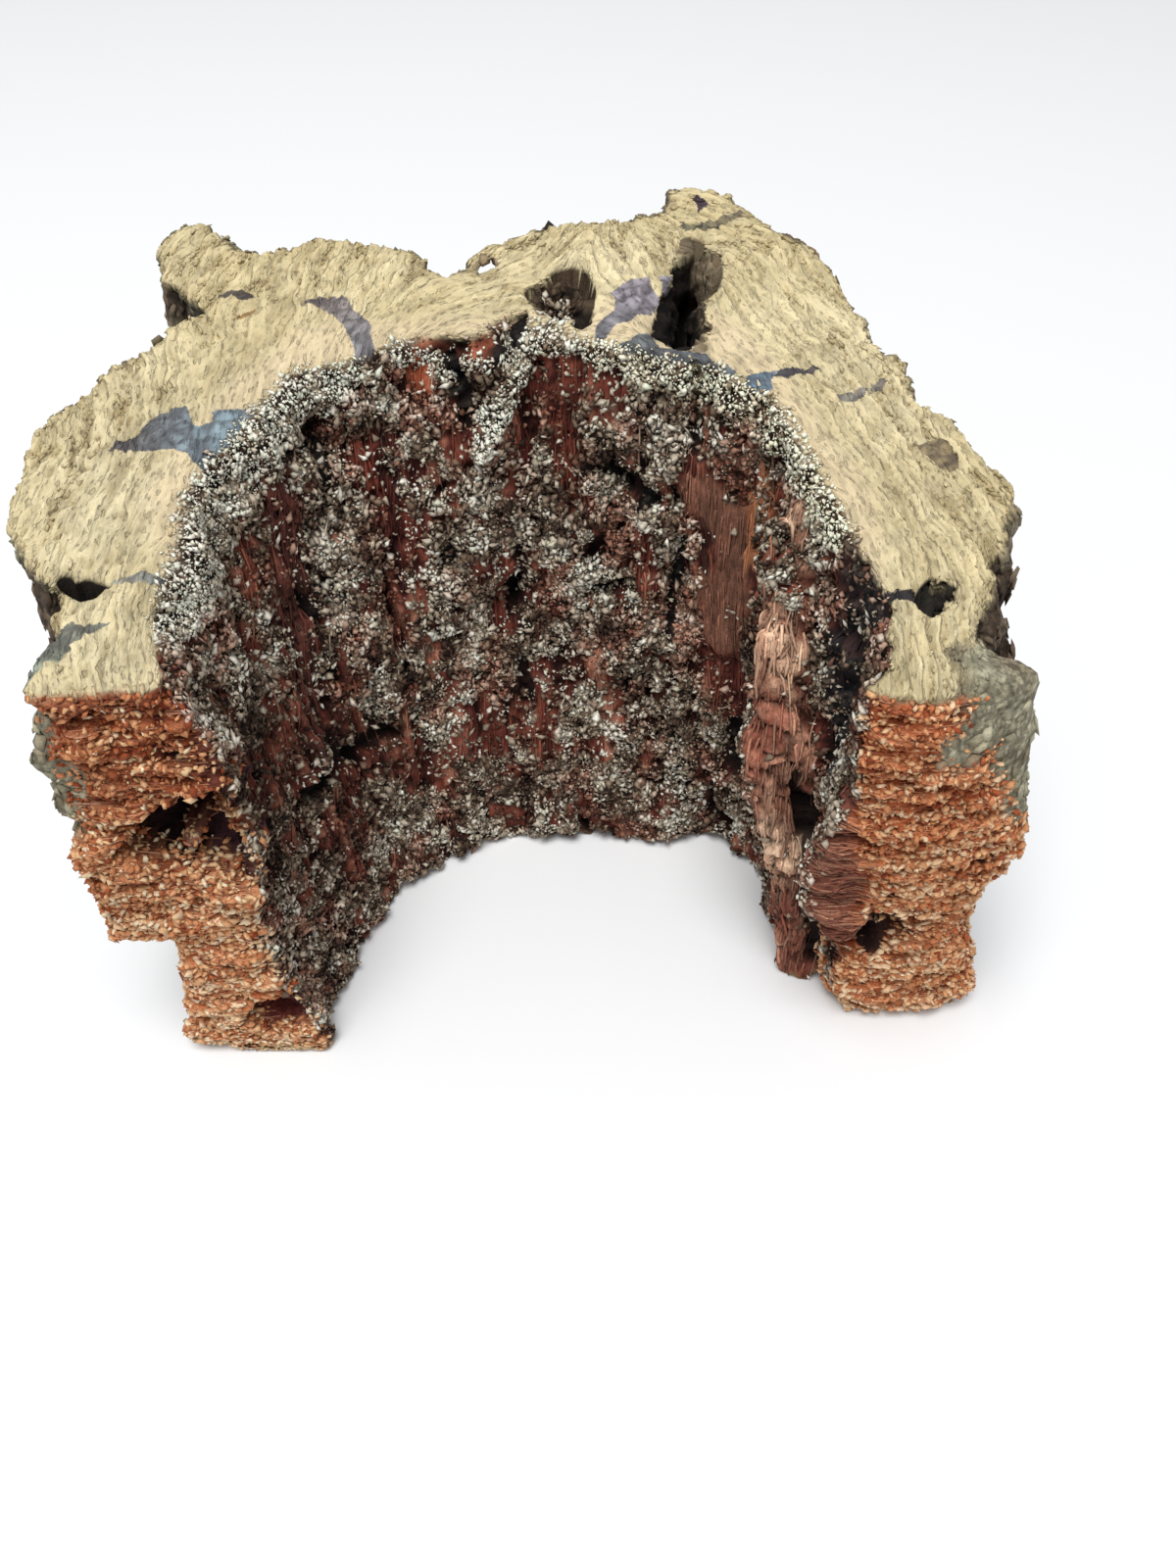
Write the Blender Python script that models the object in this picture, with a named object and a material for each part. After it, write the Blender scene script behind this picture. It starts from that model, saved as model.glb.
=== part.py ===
"""Cork bark hide: a half tube of raw cork bark that stands on its lower sawn end.

The bark side, the hollow side and the two torn end faces are one loft from the lower
outline to the upper one. Knot holes, cracks and cavities are cut from it, and the raised
strip of inner bark is joined to it. Lengths in the tables are millimetres.
"""

import math

import bpy
import bmesh
from mathutils import Matrix, Vector, noise

NAME = "cork_bark"
MM = 0.001

# The upper end is sawn aslant and rises towards the back.
FRONT_HEIGHT = 90.8
RISE = 0.176
# Heights of the sections, measured up the front of the legs.
SECTIONS = [0, 4, 9, 14, 19, 24, 28, 31, 33.5, 38, 41.5, 44, 49, 54, 60, 66, 72, 77, 82, 86,
            88.5, FRONT_HEIGHT]
BARK_STEP = 3.7
HOLLOW_STEP = 4.2
END_FACE_COLUMNS = 3
# The grain leans back by this much for each millimetre of height.
GRAIN_LEAN = 0.28

# The bark side from the left foot round the back to the right foot, seen from above, as
# stretches of (upper outline, lower outline).
LEFT_LOBE = (
    [(-75, 0), (-72, 9), (-75, 13), (-73, 16), (-78, 20), (-86, 30), (-86, 46), (-79, 56),
     (-72, 66), (-63, 76)],
    [(-76, -5), (-76, 6), (-81, 15), (-85, 27), (-83, 38), (-76, 46), (-71, 55), (-61, 63)],
)
HORN = (
    [(-63, 76), (-71, 82), (-75, 91), (-72, 97), (-66, 97), (-61, 91), (-56, 89)],
    [(-61, 63), (-69, 65), (-72, 72), (-66, 78), (-58, 77), (-53, 73)],
)
BACK_LEFT = (
    [(-56, 89), (-48, 94), (-39, 94), (-34, 92), (-28, 87), (-21, 81)],
    [(-53, 73), (-46, 77), (-36, 78), (-28, 75), (-22, 70)],
)
BACK_RIGHT = (
    [(-21, 81), (-22, 85), (-18, 92), (-7, 97), (7, 99), (13, 100)],
    [(-22, 70), (-18, 77), (-6, 80), (8, 80)],
)
PEAK = (
    [(13, 100), (15, 106), (18, 109), (25, 105), (30, 99)],
    [(8, 80), (14, 87), (22, 86), (28, 79)],
)
RIGHT_WING = (
    [(30, 99), (37, 92), (43, 84), (43, 78), (47, 65), (51, 64), (51, 53), (57, 49), (59, 42),
     (64, 37), (64, 33), (60, 29), (57, 18)],
    [(28, 79), (38, 75), (47, 67), (52, 57), (60, 54), (66, 45), (71, 39), (76, 31), (76, 22)],
)
RIGHT_FOOT = (
    [(57, 18), (54, 11), (49, 5), (49.5, -1)],
    [(76, 22), (77, 14), (75, 8), (70.5, 3.2)],
)
BARK_SIDE = [LEFT_LOBE, HORN, BACK_LEFT, BACK_RIGHT, PEAK, RIGHT_WING, RIGHT_FOOT]

# The hollow side, from the left foot round to the right foot.
HOLLOW_LEFT = (
    [(-57, 0), (-60, 12), (-60, 35), (-57, 43), (-51, 55), (-46, 62), (-36, 64)],
    [(-50, -7), (-49, 6), (-43, 24), (-33, 37)],
)
HOLLOW_BACK = (
    [(-36, 64), (-30, 69), (-16, 68), (-10, 73), (-2, 69), (8, 66), (20, 62)],
    [(-33, 37), (-18, 43), (4, 45), (21, 45)],
)
HOLLOW_RIGHT = (
    [(20, 62), (29, 55), (34, 42), (39, 24), (42, 14), (40, 3), (36.5, -1)],
    [(21, 45), (31, 43), (37, 35), (39, 22), (42, 12), (50, 2)],
)
HOLLOW_SIDE = [HOLLOW_LEFT, HOLLOW_BACK, HOLLOW_RIGHT]

# Where each corner of the torn end faces stands at each height: (height, (x, y)).
LEFT_BARK_EDGE = [(0, (-76, -5)), (31, (-70, -3)), (33.5, (-82, -2)), (46, (-81, -1)),
                  (70, (-78, 0)), (83, (-76, 0)), (91, (-75, 0))]
LEFT_HOLLOW_EDGE = [(0, (-49.5, -7)), (18, (-53, -6)), (31, (-56, -4)), (55, (-51, -3)),
                    (75, (-52, -1)), (91, (-57, 0))]
RIGHT_BARK_EDGE = [(0, (70.5, 3.2)), (9, (71, 4)), (24, (65.5, 4)), (41.5, (67, 4.5)),
                   (44, (71, 5)), (54, (69, 5)), (70, (65.5, 6)), (86, (62.5, 6.5)),
                   (88.5, (61.5, 7)), (91, (49.5, -1))]
RIGHT_HOLLOW_EDGE = [(0, (50, 2)), (24, (45, 2)), (29, (39, 1.5)), (52, (35.5, 1)),
                     (65, (40, 0)), (75, (38, 0)), (91, (36.5, -1))]
LEFT_BARK_REACH = 26
RIGHT_BARK_REACH = 36
HOLLOW_REACH = 16
# How far the middle of the right end face stands forward: (height, distance).
RIGHT_FACE_BOW = [(0, 0), (30, 1.5), (60, 3.2), (88.5, 4), (91, 0)]

# Relief: (depth, length across the grain, length along the grain).
FISSURES = (3.8, 15, 70)
BARK_LUMPS = (1.8, 13, 24)
HOLLOW_RIBS = (1.8, 12, 60)
END_FACE_LUMPS = (1.6, 11, 9)
CALM_BELOW_RIM = 16
CALM_BY_END_FACE = 12

# The strip of inner bark that stands out on the right of the hollow, rooted in the wall:
# (x, y, z, half length towards the wall, half width).
STRIP = [(42.5, 12.6, 0, 5.5, 4.2), (39.8, 15, 16, 6, 4.2), (36.9, 18, 34, 7, 4.2),
         (34.5, 21.6, 50, 7.5, 4.2), (33.2, 27.6, 66, 7.5, 4.2), (33.2, 34.5, 80, 7.2, 4),
         (33, 39.5, 89, 5, 2.6)]
STRIP_TURN = math.radians(37)
STRIP_SIDES = 10

CORK_TAN = (0.63, 0.47, 0.27, 1.0)


def rim_height(y):
    return FRONT_HEIGHT + RISE * y


def share_of_rows(table, height):
    """The two rows of a table that a height lies between, and how far on it lies."""
    for (low, first), (high, last) in zip(table, table[1:]):
        if height <= high:
            break
    return first, last, (height - low) / (high - low)


def corner_at(table, height):
    first, last, share = share_of_rows(table, height)
    return Vector(first).lerp(Vector(last), share)


def bow_at(height):
    first, last, share = share_of_rows(RIGHT_FACE_BOW, height)
    return first + (last - first) * share


def ease(value):
    value = min(1.0, max(0.0, value))
    return value * value * (3 - 2 * value)


def spaced(points, count):
    """Evenly spaced points along an outline, without the last one, that keep its corners."""
    runs = [math.dist(a, b) for a, b in zip(points, points[1:])]
    step = sum(runs) / count
    result = []
    for k in range(count):
        left = step * k
        i = 0
        while left > runs[i]:
            left -= runs[i]
            i += 1
        result.append(Vector(points[i]).lerp(Vector(points[i + 1]), left / runs[i]))
    for i in range(1, len(points) - 1):
        nearest = min(count - 1, round(sum(runs[:i]) / step))
        result[nearest] = Vector(points[i])
    return result


def side_outline(stretches, step):
    """Matching points of the upper and lower outlines of one side."""
    upper, lower = [], []
    for above, below in stretches:
        length = sum(math.dist(a, b) for a, b in zip(above, above[1:]))
        count = max(2, round(length / step))
        upper += spaced(above, count)
        lower += spaced(below, count)
    upper.append(Vector(stretches[-1][0][-1]))
    lower.append(Vector(stretches[-1][1][-1]))
    return upper, lower


def grain_noise(x, y, z, across, along, shift):
    """Noise stretched along the grain, from -1 to 1."""
    return noise.noise(Vector((x / across + shift, (y - GRAIN_LEAN * z) / across, z / along)))


def bark_relief(x, y, z):
    depth, across, along = FISSURES
    fissure = 1 - 2.4 * abs(grain_noise(x, y, z, across, along, 3.1))
    lump_depth, lump_across, lump_along = BARK_LUMPS
    lump = grain_noise(x, y, z, lump_across, lump_along, 7.7)
    calm = ease((rim_height(y) - z) / CALM_BELOW_RIM)
    return calm * (-depth * max(0.0, fissure) + lump_depth * lump)


def hollow_relief(x, y, z):
    depth, across, along = HOLLOW_RIBS
    calm = ease((rim_height(y) - z) / CALM_BELOW_RIM)
    return calm * depth * grain_noise(x, y, z, across, along, 12.4)


def run_lengths(outline):
    """The distance of each point from the first and from the last one, along the outline."""
    lengths = [0.0]
    for a, b in zip(outline, outline[1:]):
        lengths.append(lengths[-1] + (b - a).length)
    return [(length, lengths[-1] - length) for length in lengths]


def side_section(side, height, corners, reaches, relief, outward):
    """One side at one height, as points from the left foot to the right foot."""
    upper, lower = side
    fraction = height / FRONT_HEIGHT
    flat = [b.lerp(a, fraction) for a, b in zip(upper, lower)]
    lengths = run_lengths(flat)
    left = corner_at(corners[0], height) - flat[0]
    right = corner_at(corners[1], height) - flat[-1]
    for point, (from_left, from_right) in zip(flat, lengths):
        point += left * ease(1 - from_left / reaches[0])
        point += right * ease(1 - from_right / reaches[1])
    points = []
    for i, point in enumerate(flat):
        along = flat[min(i + 2, len(flat) - 1)] - flat[max(i - 2, 0)]
        normal = Vector((-along.y, along.x)).normalized() * outward
        calm = ease(min(lengths[i]) / CALM_BY_END_FACE)
        moved = point + normal * calm * relief(point.x, point.y, fraction * rim_height(point.y))
        points.append(Vector((moved.x, moved.y, fraction * rim_height(moved.y))))
    return points


def end_face(start, end, bow):
    """The points across a torn end face, between its two corners."""
    depth, across, along = END_FACE_LUMPS
    points = []
    for k in range(1, END_FACE_COLUMNS + 1):
        share = k / (END_FACE_COLUMNS + 1)
        point = start.lerp(end, share)
        calm = ease((rim_height(point.y) - point.z) / along)
        lump = noise.noise(Vector((point.x / across, 5.2, point.z / along)))
        moved_y = point.y + calm * depth * lump - 4 * bow * share * (1 - share)
        height = point.z / rim_height(point.y)
        points.append(Vector((point.x, moved_y, height * rim_height(moved_y))))
    return points


def loft(name, rings):
    """A closed body through rings of equally many points, capped at both ends."""
    mesh = bmesh.new()
    rows = [[mesh.verts.new(point * MM) for point in ring] for ring in rings]
    for low, high in zip(rows, rows[1:]):
        for i in range(len(low)):
            j = (i + 1) % len(low)
            mesh.faces.new((low[i], low[j], high[j], high[i]))
    mesh.faces.new(rows[0])
    mesh.faces.new(rows[-1])
    bmesh.ops.recalc_face_normals(mesh, faces=mesh.faces)
    data = bpy.data.meshes.new(name)
    mesh.to_mesh(data)
    mesh.free()
    return bpy.data.objects.new(name, data)


def bark_body():
    bark = side_outline(BARK_SIDE, BARK_STEP)
    hollow = side_outline(HOLLOW_SIDE, HOLLOW_STEP)
    rings = []
    for height in SECTIONS:
        outer = side_section(bark, height, (LEFT_BARK_EDGE, RIGHT_BARK_EDGE),
                             (LEFT_BARK_REACH, RIGHT_BARK_REACH), bark_relief, 1)
        inner = side_section(hollow, height, (LEFT_HOLLOW_EDGE, RIGHT_HOLLOW_EDGE),
                             (HOLLOW_REACH, HOLLOW_REACH), hollow_relief, -1)
        right_end = end_face(outer[-1], inner[-1], bow_at(height))
        left_end = end_face(inner[0], outer[0], 0)
        rings.append(outer + right_end + inner[::-1] + left_end)
    return loft(NAME, rings)


def strip_body():
    rings = []
    for x, y, z, half_length, half_width in STRIP:
        ring = []
        for k in range(STRIP_SIDES):
            angle = 2 * math.pi * k / STRIP_SIDES
            rough = 1 + 0.2 * noise.noise(Vector((3 * math.cos(angle), 3 * math.sin(angle), z / 9)))
            point = Vector((half_length * math.cos(angle), half_width * math.sin(angle), 0))
            ring.append(Matrix.Rotation(STRIP_TURN, 3, "Z") @ point * rough + Vector((x, y, z)))
        rings.append(ring)
    return loft("inner_strip", rings)


def pit(name, centre, radii, depth, turn=0.0, bottom=0.55, sides=10):
    """A cutter for a hole in the upper face: a rough cone, narrower at the bottom."""
    mesh = bmesh.new()
    above = 8
    bmesh.ops.create_cone(mesh, cap_ends=True, segments=sides, radius1=bottom, radius2=1,
                          depth=1)
    top = rim_height(centre[1]) + above
    for vertex in mesh.verts:
        x, y, z = vertex.co
        rough = 1 + 0.3 * noise.noise(Vector((2.3 * x, 2.3 * y, centre[0])))
        vertex.co = (radii[0] * rough * x, radii[1] * rough * y, (depth + above) * (z - 0.5))
    turned = Matrix.Translation((centre[0], centre[1], top)) @ Matrix.Rotation(turn, 4, "Z")
    mesh.transform(Matrix.Scale(MM, 4) @ turned)
    return cutter(name, mesh)


def cavity(name, centre, radii, turn=0.0):
    """A cutter for a cavity in a torn end face: a rough flattened ball."""
    mesh = bmesh.new()
    bmesh.ops.create_icosphere(mesh, subdivisions=2, radius=1)
    for vertex in mesh.verts:
        rough = 1 + 0.35 * noise.noise(1.9 * vertex.co + Vector(centre))
        vertex.co = Vector([r * rough * c for r, c in zip(radii, vertex.co)])
    turned = Matrix.Translation(centre) @ Matrix.Rotation(turn, 4, "Y")
    mesh.transform(Matrix.Scale(MM, 4) @ turned)
    return cutter(name, mesh)


def cutter(name, mesh):
    bmesh.ops.recalc_face_normals(mesh, faces=mesh.faces)
    data = bpy.data.meshes.new(name)
    mesh.to_mesh(data)
    mesh.free()
    shape = bpy.data.objects.new(name, data)
    shape.hide_render = True
    shape.display_type = "WIRE"
    return shape


def hole_cutters():
    return [
        pit("knot_hole", (-5, 78), (6.6, 8.2), 13),
        pit("knot_hole_floor", (-1.5, 74), (2.4, 2.6), 24, bottom=0.4, sides=8),
        pit("slot_front", (15.5, 73.5), (4.6, 9.5), 34, turn=math.radians(6)),
        pit("slot_back", (18, 85), (4.8, 8.2), 22, turn=math.radians(-14)),
        pit("crest_slot", (-13, 71.5), (2.4, 6.0), 26, turn=math.radians(-40), sides=8),
        pit("left_crack", (-70, 15.5), (6.0, 1.9), 30, turn=math.radians(8), sides=8),
        pit("right_crack", (50.5, 15.5), (4.6, 2.7), 26, turn=math.radians(12), sides=8),
    ]


def cavity_cutters():
    return [
        cavity("left_cavity", (-59.5, -4, 61), (10.5, 9, 7.4), turn=math.radians(-14)),
        cavity("left_low_cavity", (-56, -7, 7.5), (7.5, 6, 2.7)),
        cavity("right_cavity", (52.5, 2, 32), (5.5, 7, 4.6)),
        cavity("right_low_cavity", (47.5, 2, 20), (4.6, 6, 2.4)),
    ]


def cork_material():
    material = bpy.data.materials.new("cork")
    material.use_nodes = True
    shader = material.node_tree.nodes["Principled BSDF"]
    shader.inputs["Base Color"].default_value = CORK_TAN
    shader.inputs["Roughness"].default_value = 0.92
    shader.inputs["Metallic"].default_value = 0.0
    return material


def add_boolean(body, tool, operation):
    modifier = body.modifiers.new(tool.name, "BOOLEAN")
    modifier.object = tool
    modifier.operation = operation
    modifier.solver = "EXACT"


def place_on_origin(body):
    """Stands the body on z = 0 with the middle of its box over the origin."""
    bpy.context.view_layer.update()
    shape = body.evaluated_get(bpy.context.evaluated_depsgraph_get())
    corners = [shape.matrix_world @ Vector(corner) for corner in shape.bound_box]
    low = [min(corner[i] for corner in corners) for i in range(3)]
    high = [max(corner[i] for corner in corners) for i in range(3)]
    body.location = (-(low[0] + high[0]) / 2, -(low[1] + high[1]) / 2, -low[2])


def main():
    for old in list(bpy.data.objects):
        bpy.data.objects.remove(old, do_unlink=True)
    parts = bpy.data.collections.new("cork_bark_hide")
    tools = bpy.data.collections.new("cutters")
    bpy.context.scene.collection.children.link(parts)
    bpy.context.scene.collection.children.link(tools)

    body = bark_body()
    parts.objects.link(body)
    body.data.materials.append(cork_material())

    strip = strip_body()
    strip.hide_render = True
    strip.display_type = "WIRE"
    for tool in [strip] + hole_cutters() + cavity_cutters():
        tools.objects.link(tool)
        tool.parent = body
        add_boolean(body, tool, "UNION" if tool is strip else "DIFFERENCE")
    place_on_origin(body)


main()
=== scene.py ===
import math

import bmesh
import bpy
import numpy as np
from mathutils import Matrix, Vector
from mathutils.bvhtree import BVHTree


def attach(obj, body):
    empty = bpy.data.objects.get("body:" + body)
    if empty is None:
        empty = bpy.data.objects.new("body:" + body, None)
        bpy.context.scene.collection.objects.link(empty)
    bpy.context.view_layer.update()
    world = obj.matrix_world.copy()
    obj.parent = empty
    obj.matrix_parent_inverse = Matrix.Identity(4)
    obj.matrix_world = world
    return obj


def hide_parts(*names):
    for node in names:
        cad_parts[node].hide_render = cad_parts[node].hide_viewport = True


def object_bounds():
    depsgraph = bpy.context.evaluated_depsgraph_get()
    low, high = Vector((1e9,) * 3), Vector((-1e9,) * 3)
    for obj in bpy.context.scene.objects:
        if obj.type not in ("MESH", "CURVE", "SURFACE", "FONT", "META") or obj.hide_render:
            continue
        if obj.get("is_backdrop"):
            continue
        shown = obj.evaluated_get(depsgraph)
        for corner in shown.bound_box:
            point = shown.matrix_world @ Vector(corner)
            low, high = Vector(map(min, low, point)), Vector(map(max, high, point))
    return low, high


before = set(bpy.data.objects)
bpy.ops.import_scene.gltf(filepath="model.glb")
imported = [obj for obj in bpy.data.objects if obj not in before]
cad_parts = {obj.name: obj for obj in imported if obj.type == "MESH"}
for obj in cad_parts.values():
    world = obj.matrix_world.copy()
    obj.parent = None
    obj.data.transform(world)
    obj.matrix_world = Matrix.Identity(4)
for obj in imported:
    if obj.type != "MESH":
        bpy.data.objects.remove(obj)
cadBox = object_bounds()
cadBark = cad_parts["cork_bark"]
scene = bpy.context.scene

# Places are in mm, measured from the middle of the hollow's mouth on the table.
mouth = np.array([5.821, -51.0, 0.0])
mm = 0.001
lowCorner = np.array(cadBox[0]) / mm - mouth
highCorner = np.array(cadBox[1]) / mm - mouth
topWay = np.array([0.0, -0.173, 0.985])


def tone(*rgb):
    shade = np.array(rgb, dtype=float) / 255.0
    return np.where(shade <= 0.04045, shade / 12.92, ((shade + 0.055) / 1.055) ** 2.4)


def ease(values, low, high):
    share = np.clip((values - low) / (high - low), 0.0, 1.0)
    return share * share * (3.0 - 2.0 * share)


def mix(base, other, share):
    share = np.asarray(share, dtype=float)
    return base + (other - base) * (share[:, None] if share.ndim else share)


def ramp(values, stops):
    places = np.linspace(0.0, 1.0, len(stops))
    tones = np.array([tone(*stop) for stop in stops])
    return np.stack([np.interp(values, places, tones[:, k]) for k in range(3)], axis=1)


def unit(vectors):
    return vectors / np.linalg.norm(vectors, axis=-1, keepdims=True).clip(1e-9)


def topHeight(y):
    # the sawn top rises towards the back
    return 90.8 + 0.176 * y


# Noise, the same on every run
def draw(cell, seed):
    mixed = (cell[:, 0].astype(np.uint32) * np.uint32(374761393)
             + cell[:, 1].astype(np.uint32) * np.uint32(668265263)
             + cell[:, 2].astype(np.uint32) * np.uint32(2246822519)
             + np.uint32((seed * 3266489917 + 97) & 0xFFFFFFFF))
    mixed = (mixed ^ (mixed >> np.uint32(15))) * np.uint32(2246822519)
    mixed = (mixed ^ (mixed >> np.uint32(13))) * np.uint32(3266489917)
    mixed = mixed ^ (mixed >> np.uint32(16))
    return mixed.astype(np.float64) / 4294967296.0


def softNoise(points, size, seed):
    scaled = points / np.array(size, dtype=float)
    base = np.floor(scaled)
    part = scaled - base
    part = part * part * (3.0 - 2.0 * part)
    base = base.astype(np.int64)
    total = np.zeros(len(points))
    for corner in range(8):
        step = np.array([corner & 1, corner >> 1 & 1, corner >> 2 & 1])
        weight = np.prod(np.where(step == 1, part, 1.0 - part), axis=1)
        total += weight * draw(base + step, seed)
    return total * 2.0 - 1.0


def roughNoise(points, size, seed, layers=3, keep=0.55):
    total = np.zeros(len(points))
    height, scale, full = 1.0, 1.0, 0.0
    for layer in range(layers):
        total += height * softNoise(points, np.array(size, dtype=float) * scale, seed + 11 * layer)
        full += height
        height *= keep
        scale *= 0.5
    return total / full * 1.6


def cellNoise(points, size, seed):
    # nearest and second nearest seed, in cells, and a number for the nearest
    scaled = points / np.array(size, dtype=float)
    base = np.floor(scaled).astype(np.int64)
    first = np.full(len(points), 9.0)
    second = np.full(len(points), 9.0)
    owner = np.zeros(len(points))
    for near in range(27):
        cell = base + np.array([near % 3 - 1, near // 3 % 3 - 1, near // 9 - 1])
        spot = cell + np.stack([draw(cell, seed + k) for k in (1, 2, 3)], axis=1)
        gap = np.linalg.norm(scaled - spot, axis=1)
        nearer = gap < first
        second = np.where(nearer, first, np.minimum(second, gap))
        owner = np.where(nearer, draw(cell, seed + 4), owner)
        first = np.where(nearer, gap, first)
    return first, second, owner


def climb(points, ways, edges, rounds=500):
    # a value that rises by one a mm along the given directions, as near as it can
    first, last = edges.T
    count = len(points)
    step = ((ways[first] + ways[last]) / 2 * (points[last] - points[first])).sum(axis=1)

    def gather(values):
        return np.bincount(last, values, count) - np.bincount(first, values, count)
    degree = np.bincount(edges.ravel(), minlength=count).clip(1)
    value = np.zeros(count)
    left = gather(step)
    aim = left / degree
    size = (left * aim).sum()
    for turn in range(rounds):
        pull = gather(aim[last] - aim[first])
        share = size / max((aim * pull).sum(), 1e-12)
        value += share * aim
        left = left - share * pull
        scaled = left / degree
        newSize = (left * scaled).sum()
        aim = scaled + aim * (newSize / max(size, 1e-12))
        size = newSize
    return value


# Places round the arch
archTop = [(-66, 0), (-67, 15), (-73, 32), (-70, 46), (-62, 62), (-52, 76), (-40, 79), (-28, 79),
           (-18, 80), (-6, 84), (6, 84), (18, 84), (30, 77), (38, 63), (44, 48), (50, 33), (50, 20),
           (47, 10), (43, 0)]
archFoot = [(-63, -6), (-63, 10), (-64, 28), (-57, 44), (-47, 56), (-34, 60), (-20, 58), (-6, 62),
            (8, 63), (22, 64), (34, 60), (45, 50), (55, 38), (58, 24), (59, 12), (60, 4)]
archStops = 48
archSpacing = 4.9


def spaced(points, count):
    points = np.array(points, dtype=float)
    steps = np.concatenate([[0.0], np.cumsum(np.linalg.norm(np.diff(points, axis=0), axis=1))])
    wanted = np.linspace(0.0, steps[-1], count)
    return np.stack([np.interp(wanted, steps, points[:, k]) for k in (0, 1)], axis=1)


def grainPlace(points):
    # round the arch from the left foot, out through the wall (the hollow side is minus) and up
    top, foot = spaced(archTop, archStops), spaced(archFoot, archStops)
    share = np.clip(points[:, 2] / topHeight(points[:, 1]), 0.0, 1.0)[:, None]
    nearest = np.full(len(points), 1e9)
    along = np.zeros(len(points))
    across = np.zeros(len(points))
    flat = points[:, :2]
    for k in range(archStops - 1):
        start = foot[k] + (top[k] - foot[k]) * share
        run = foot[k + 1] + (top[k + 1] - foot[k + 1]) * share - start
        reach = ((flat - start) * run).sum(axis=1) / (run * run).sum(axis=1)
        reach = np.clip(reach, None if k == 0 else 0.0, None if k == archStops - 2 else 1.0)
        off = flat - start - run * reach[:, None]
        gap = np.linalg.norm(off, axis=1)
        side = np.sign(run[:, 0] * off[:, 1] - run[:, 1] * off[:, 0])
        near = gap < nearest
        nearest = np.where(near, gap, nearest)
        along = np.where(near, (k + reach) * archSpacing, along)
        across = np.where(near, side * gap, across)
    return np.stack([along, across, points[:, 2]], axis=1)


def near(points, path, noise=0.0):
    # 1 on the path and 0 past its half width; a stop is (x, y, z, half width)
    path = np.array(path, dtype=float)
    wide = path[:, -1]
    path = path[:, :-1]
    best = np.full(len(points), 9.0)
    for k in range(len(path) - 1):
        run = path[k + 1] - path[k]
        reach = np.clip(((points - path[k]) @ run) / (run @ run), 0.0, 1.0)
        gap = np.linalg.norm(points - path[k] - reach[:, None] * run, axis=1)
        best = np.minimum(best, gap / (wide[k] + (wide[k + 1] - wide[k]) * reach))
    return 1.0 - best + noise


def edgeGap(flat, outline):
    # mm to a closed outline, plus inside it and minus outside
    outline = np.array(outline, dtype=float)
    best = np.full(len(flat), 1e9)
    hit = np.zeros(len(flat), dtype=bool)
    for first, last in zip(outline, np.roll(outline, -1, axis=0)):
        run = last - first
        reach = np.clip(((flat - first) @ run) / max(run @ run, 1e-9), 0.0, 1.0)
        best = np.minimum(best, np.linalg.norm(flat - first - reach[:, None] * run, axis=1))
        crosses = (first[1] > flat[:, 1]) != (last[1] > flat[:, 1])
        hit ^= crosses & (flat[:, 0] < run[0] * (flat[:, 1] - first[1]) / (run[1] or 1e-9) + first[0])
    return np.where(hit, best, -best)


# Mesh tools
def pointsOf(mesh):
    values = np.zeros(len(mesh.vertices) * 3)
    mesh.vertices.foreach_get("co", values)
    return values.reshape(-1, 3) / mm - mouth


def normalsOf(mesh):
    values = np.zeros(len(mesh.vertices) * 3)
    mesh.vertex_normals.foreach_get("vector", values)
    return values.reshape(-1, 3)


def edgesOf(mesh):
    values = np.zeros(len(mesh.edges) * 2, dtype=np.int32)
    mesh.edges.foreach_get("vertices", values)
    return values.reshape(-1, 2)


def setPoints(mesh, points):
    points = np.clip(points, lowCorner + 0.02, highCorner - 0.02)
    mesh.vertices.foreach_set("co", ((points + mouth) * mm).ravel())
    mesh.update()


def smoothed(values, edges, rounds, share=0.5):
    values = values.reshape(len(values), -1).astype(float)
    count = np.bincount(edges.ravel(), minlength=len(values)).clip(1)[:, None]
    for turn in range(rounds):
        total = np.stack([np.bincount(edges[:, 0], values[edges[:, 1], k], len(values))
                          + np.bincount(edges[:, 1], values[edges[:, 0], k], len(values))
                          for k in range(values.shape[1])], axis=1)
        values = values + (total / count - values) * share
    return values if values.shape[1] > 1 else values[:, 0]


def store(mesh, name, values):
    if np.ndim(values) == 1:
        mesh.attributes.new(name, "FLOAT", "POINT").data.foreach_set("value", values)
    elif name not in ("paint", "stainTone"):
        mesh.attributes.new(name, "FLOAT_VECTOR", "POINT").data.foreach_set("vector", values.ravel())
    else:
        full = np.ones((len(values), 4))
        full[:, :3] = values
        mesh.attributes.new(name, "FLOAT_COLOR", "POINT").data.foreach_set("color", full.ravel())


def finishPiece(piece, material):
    piece.data.materials.clear()
    piece.data.materials.append(material)
    piece.data.polygons.foreach_set("use_smooth", [True] * len(piece.data.polygons))
    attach(piece, "root")


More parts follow.
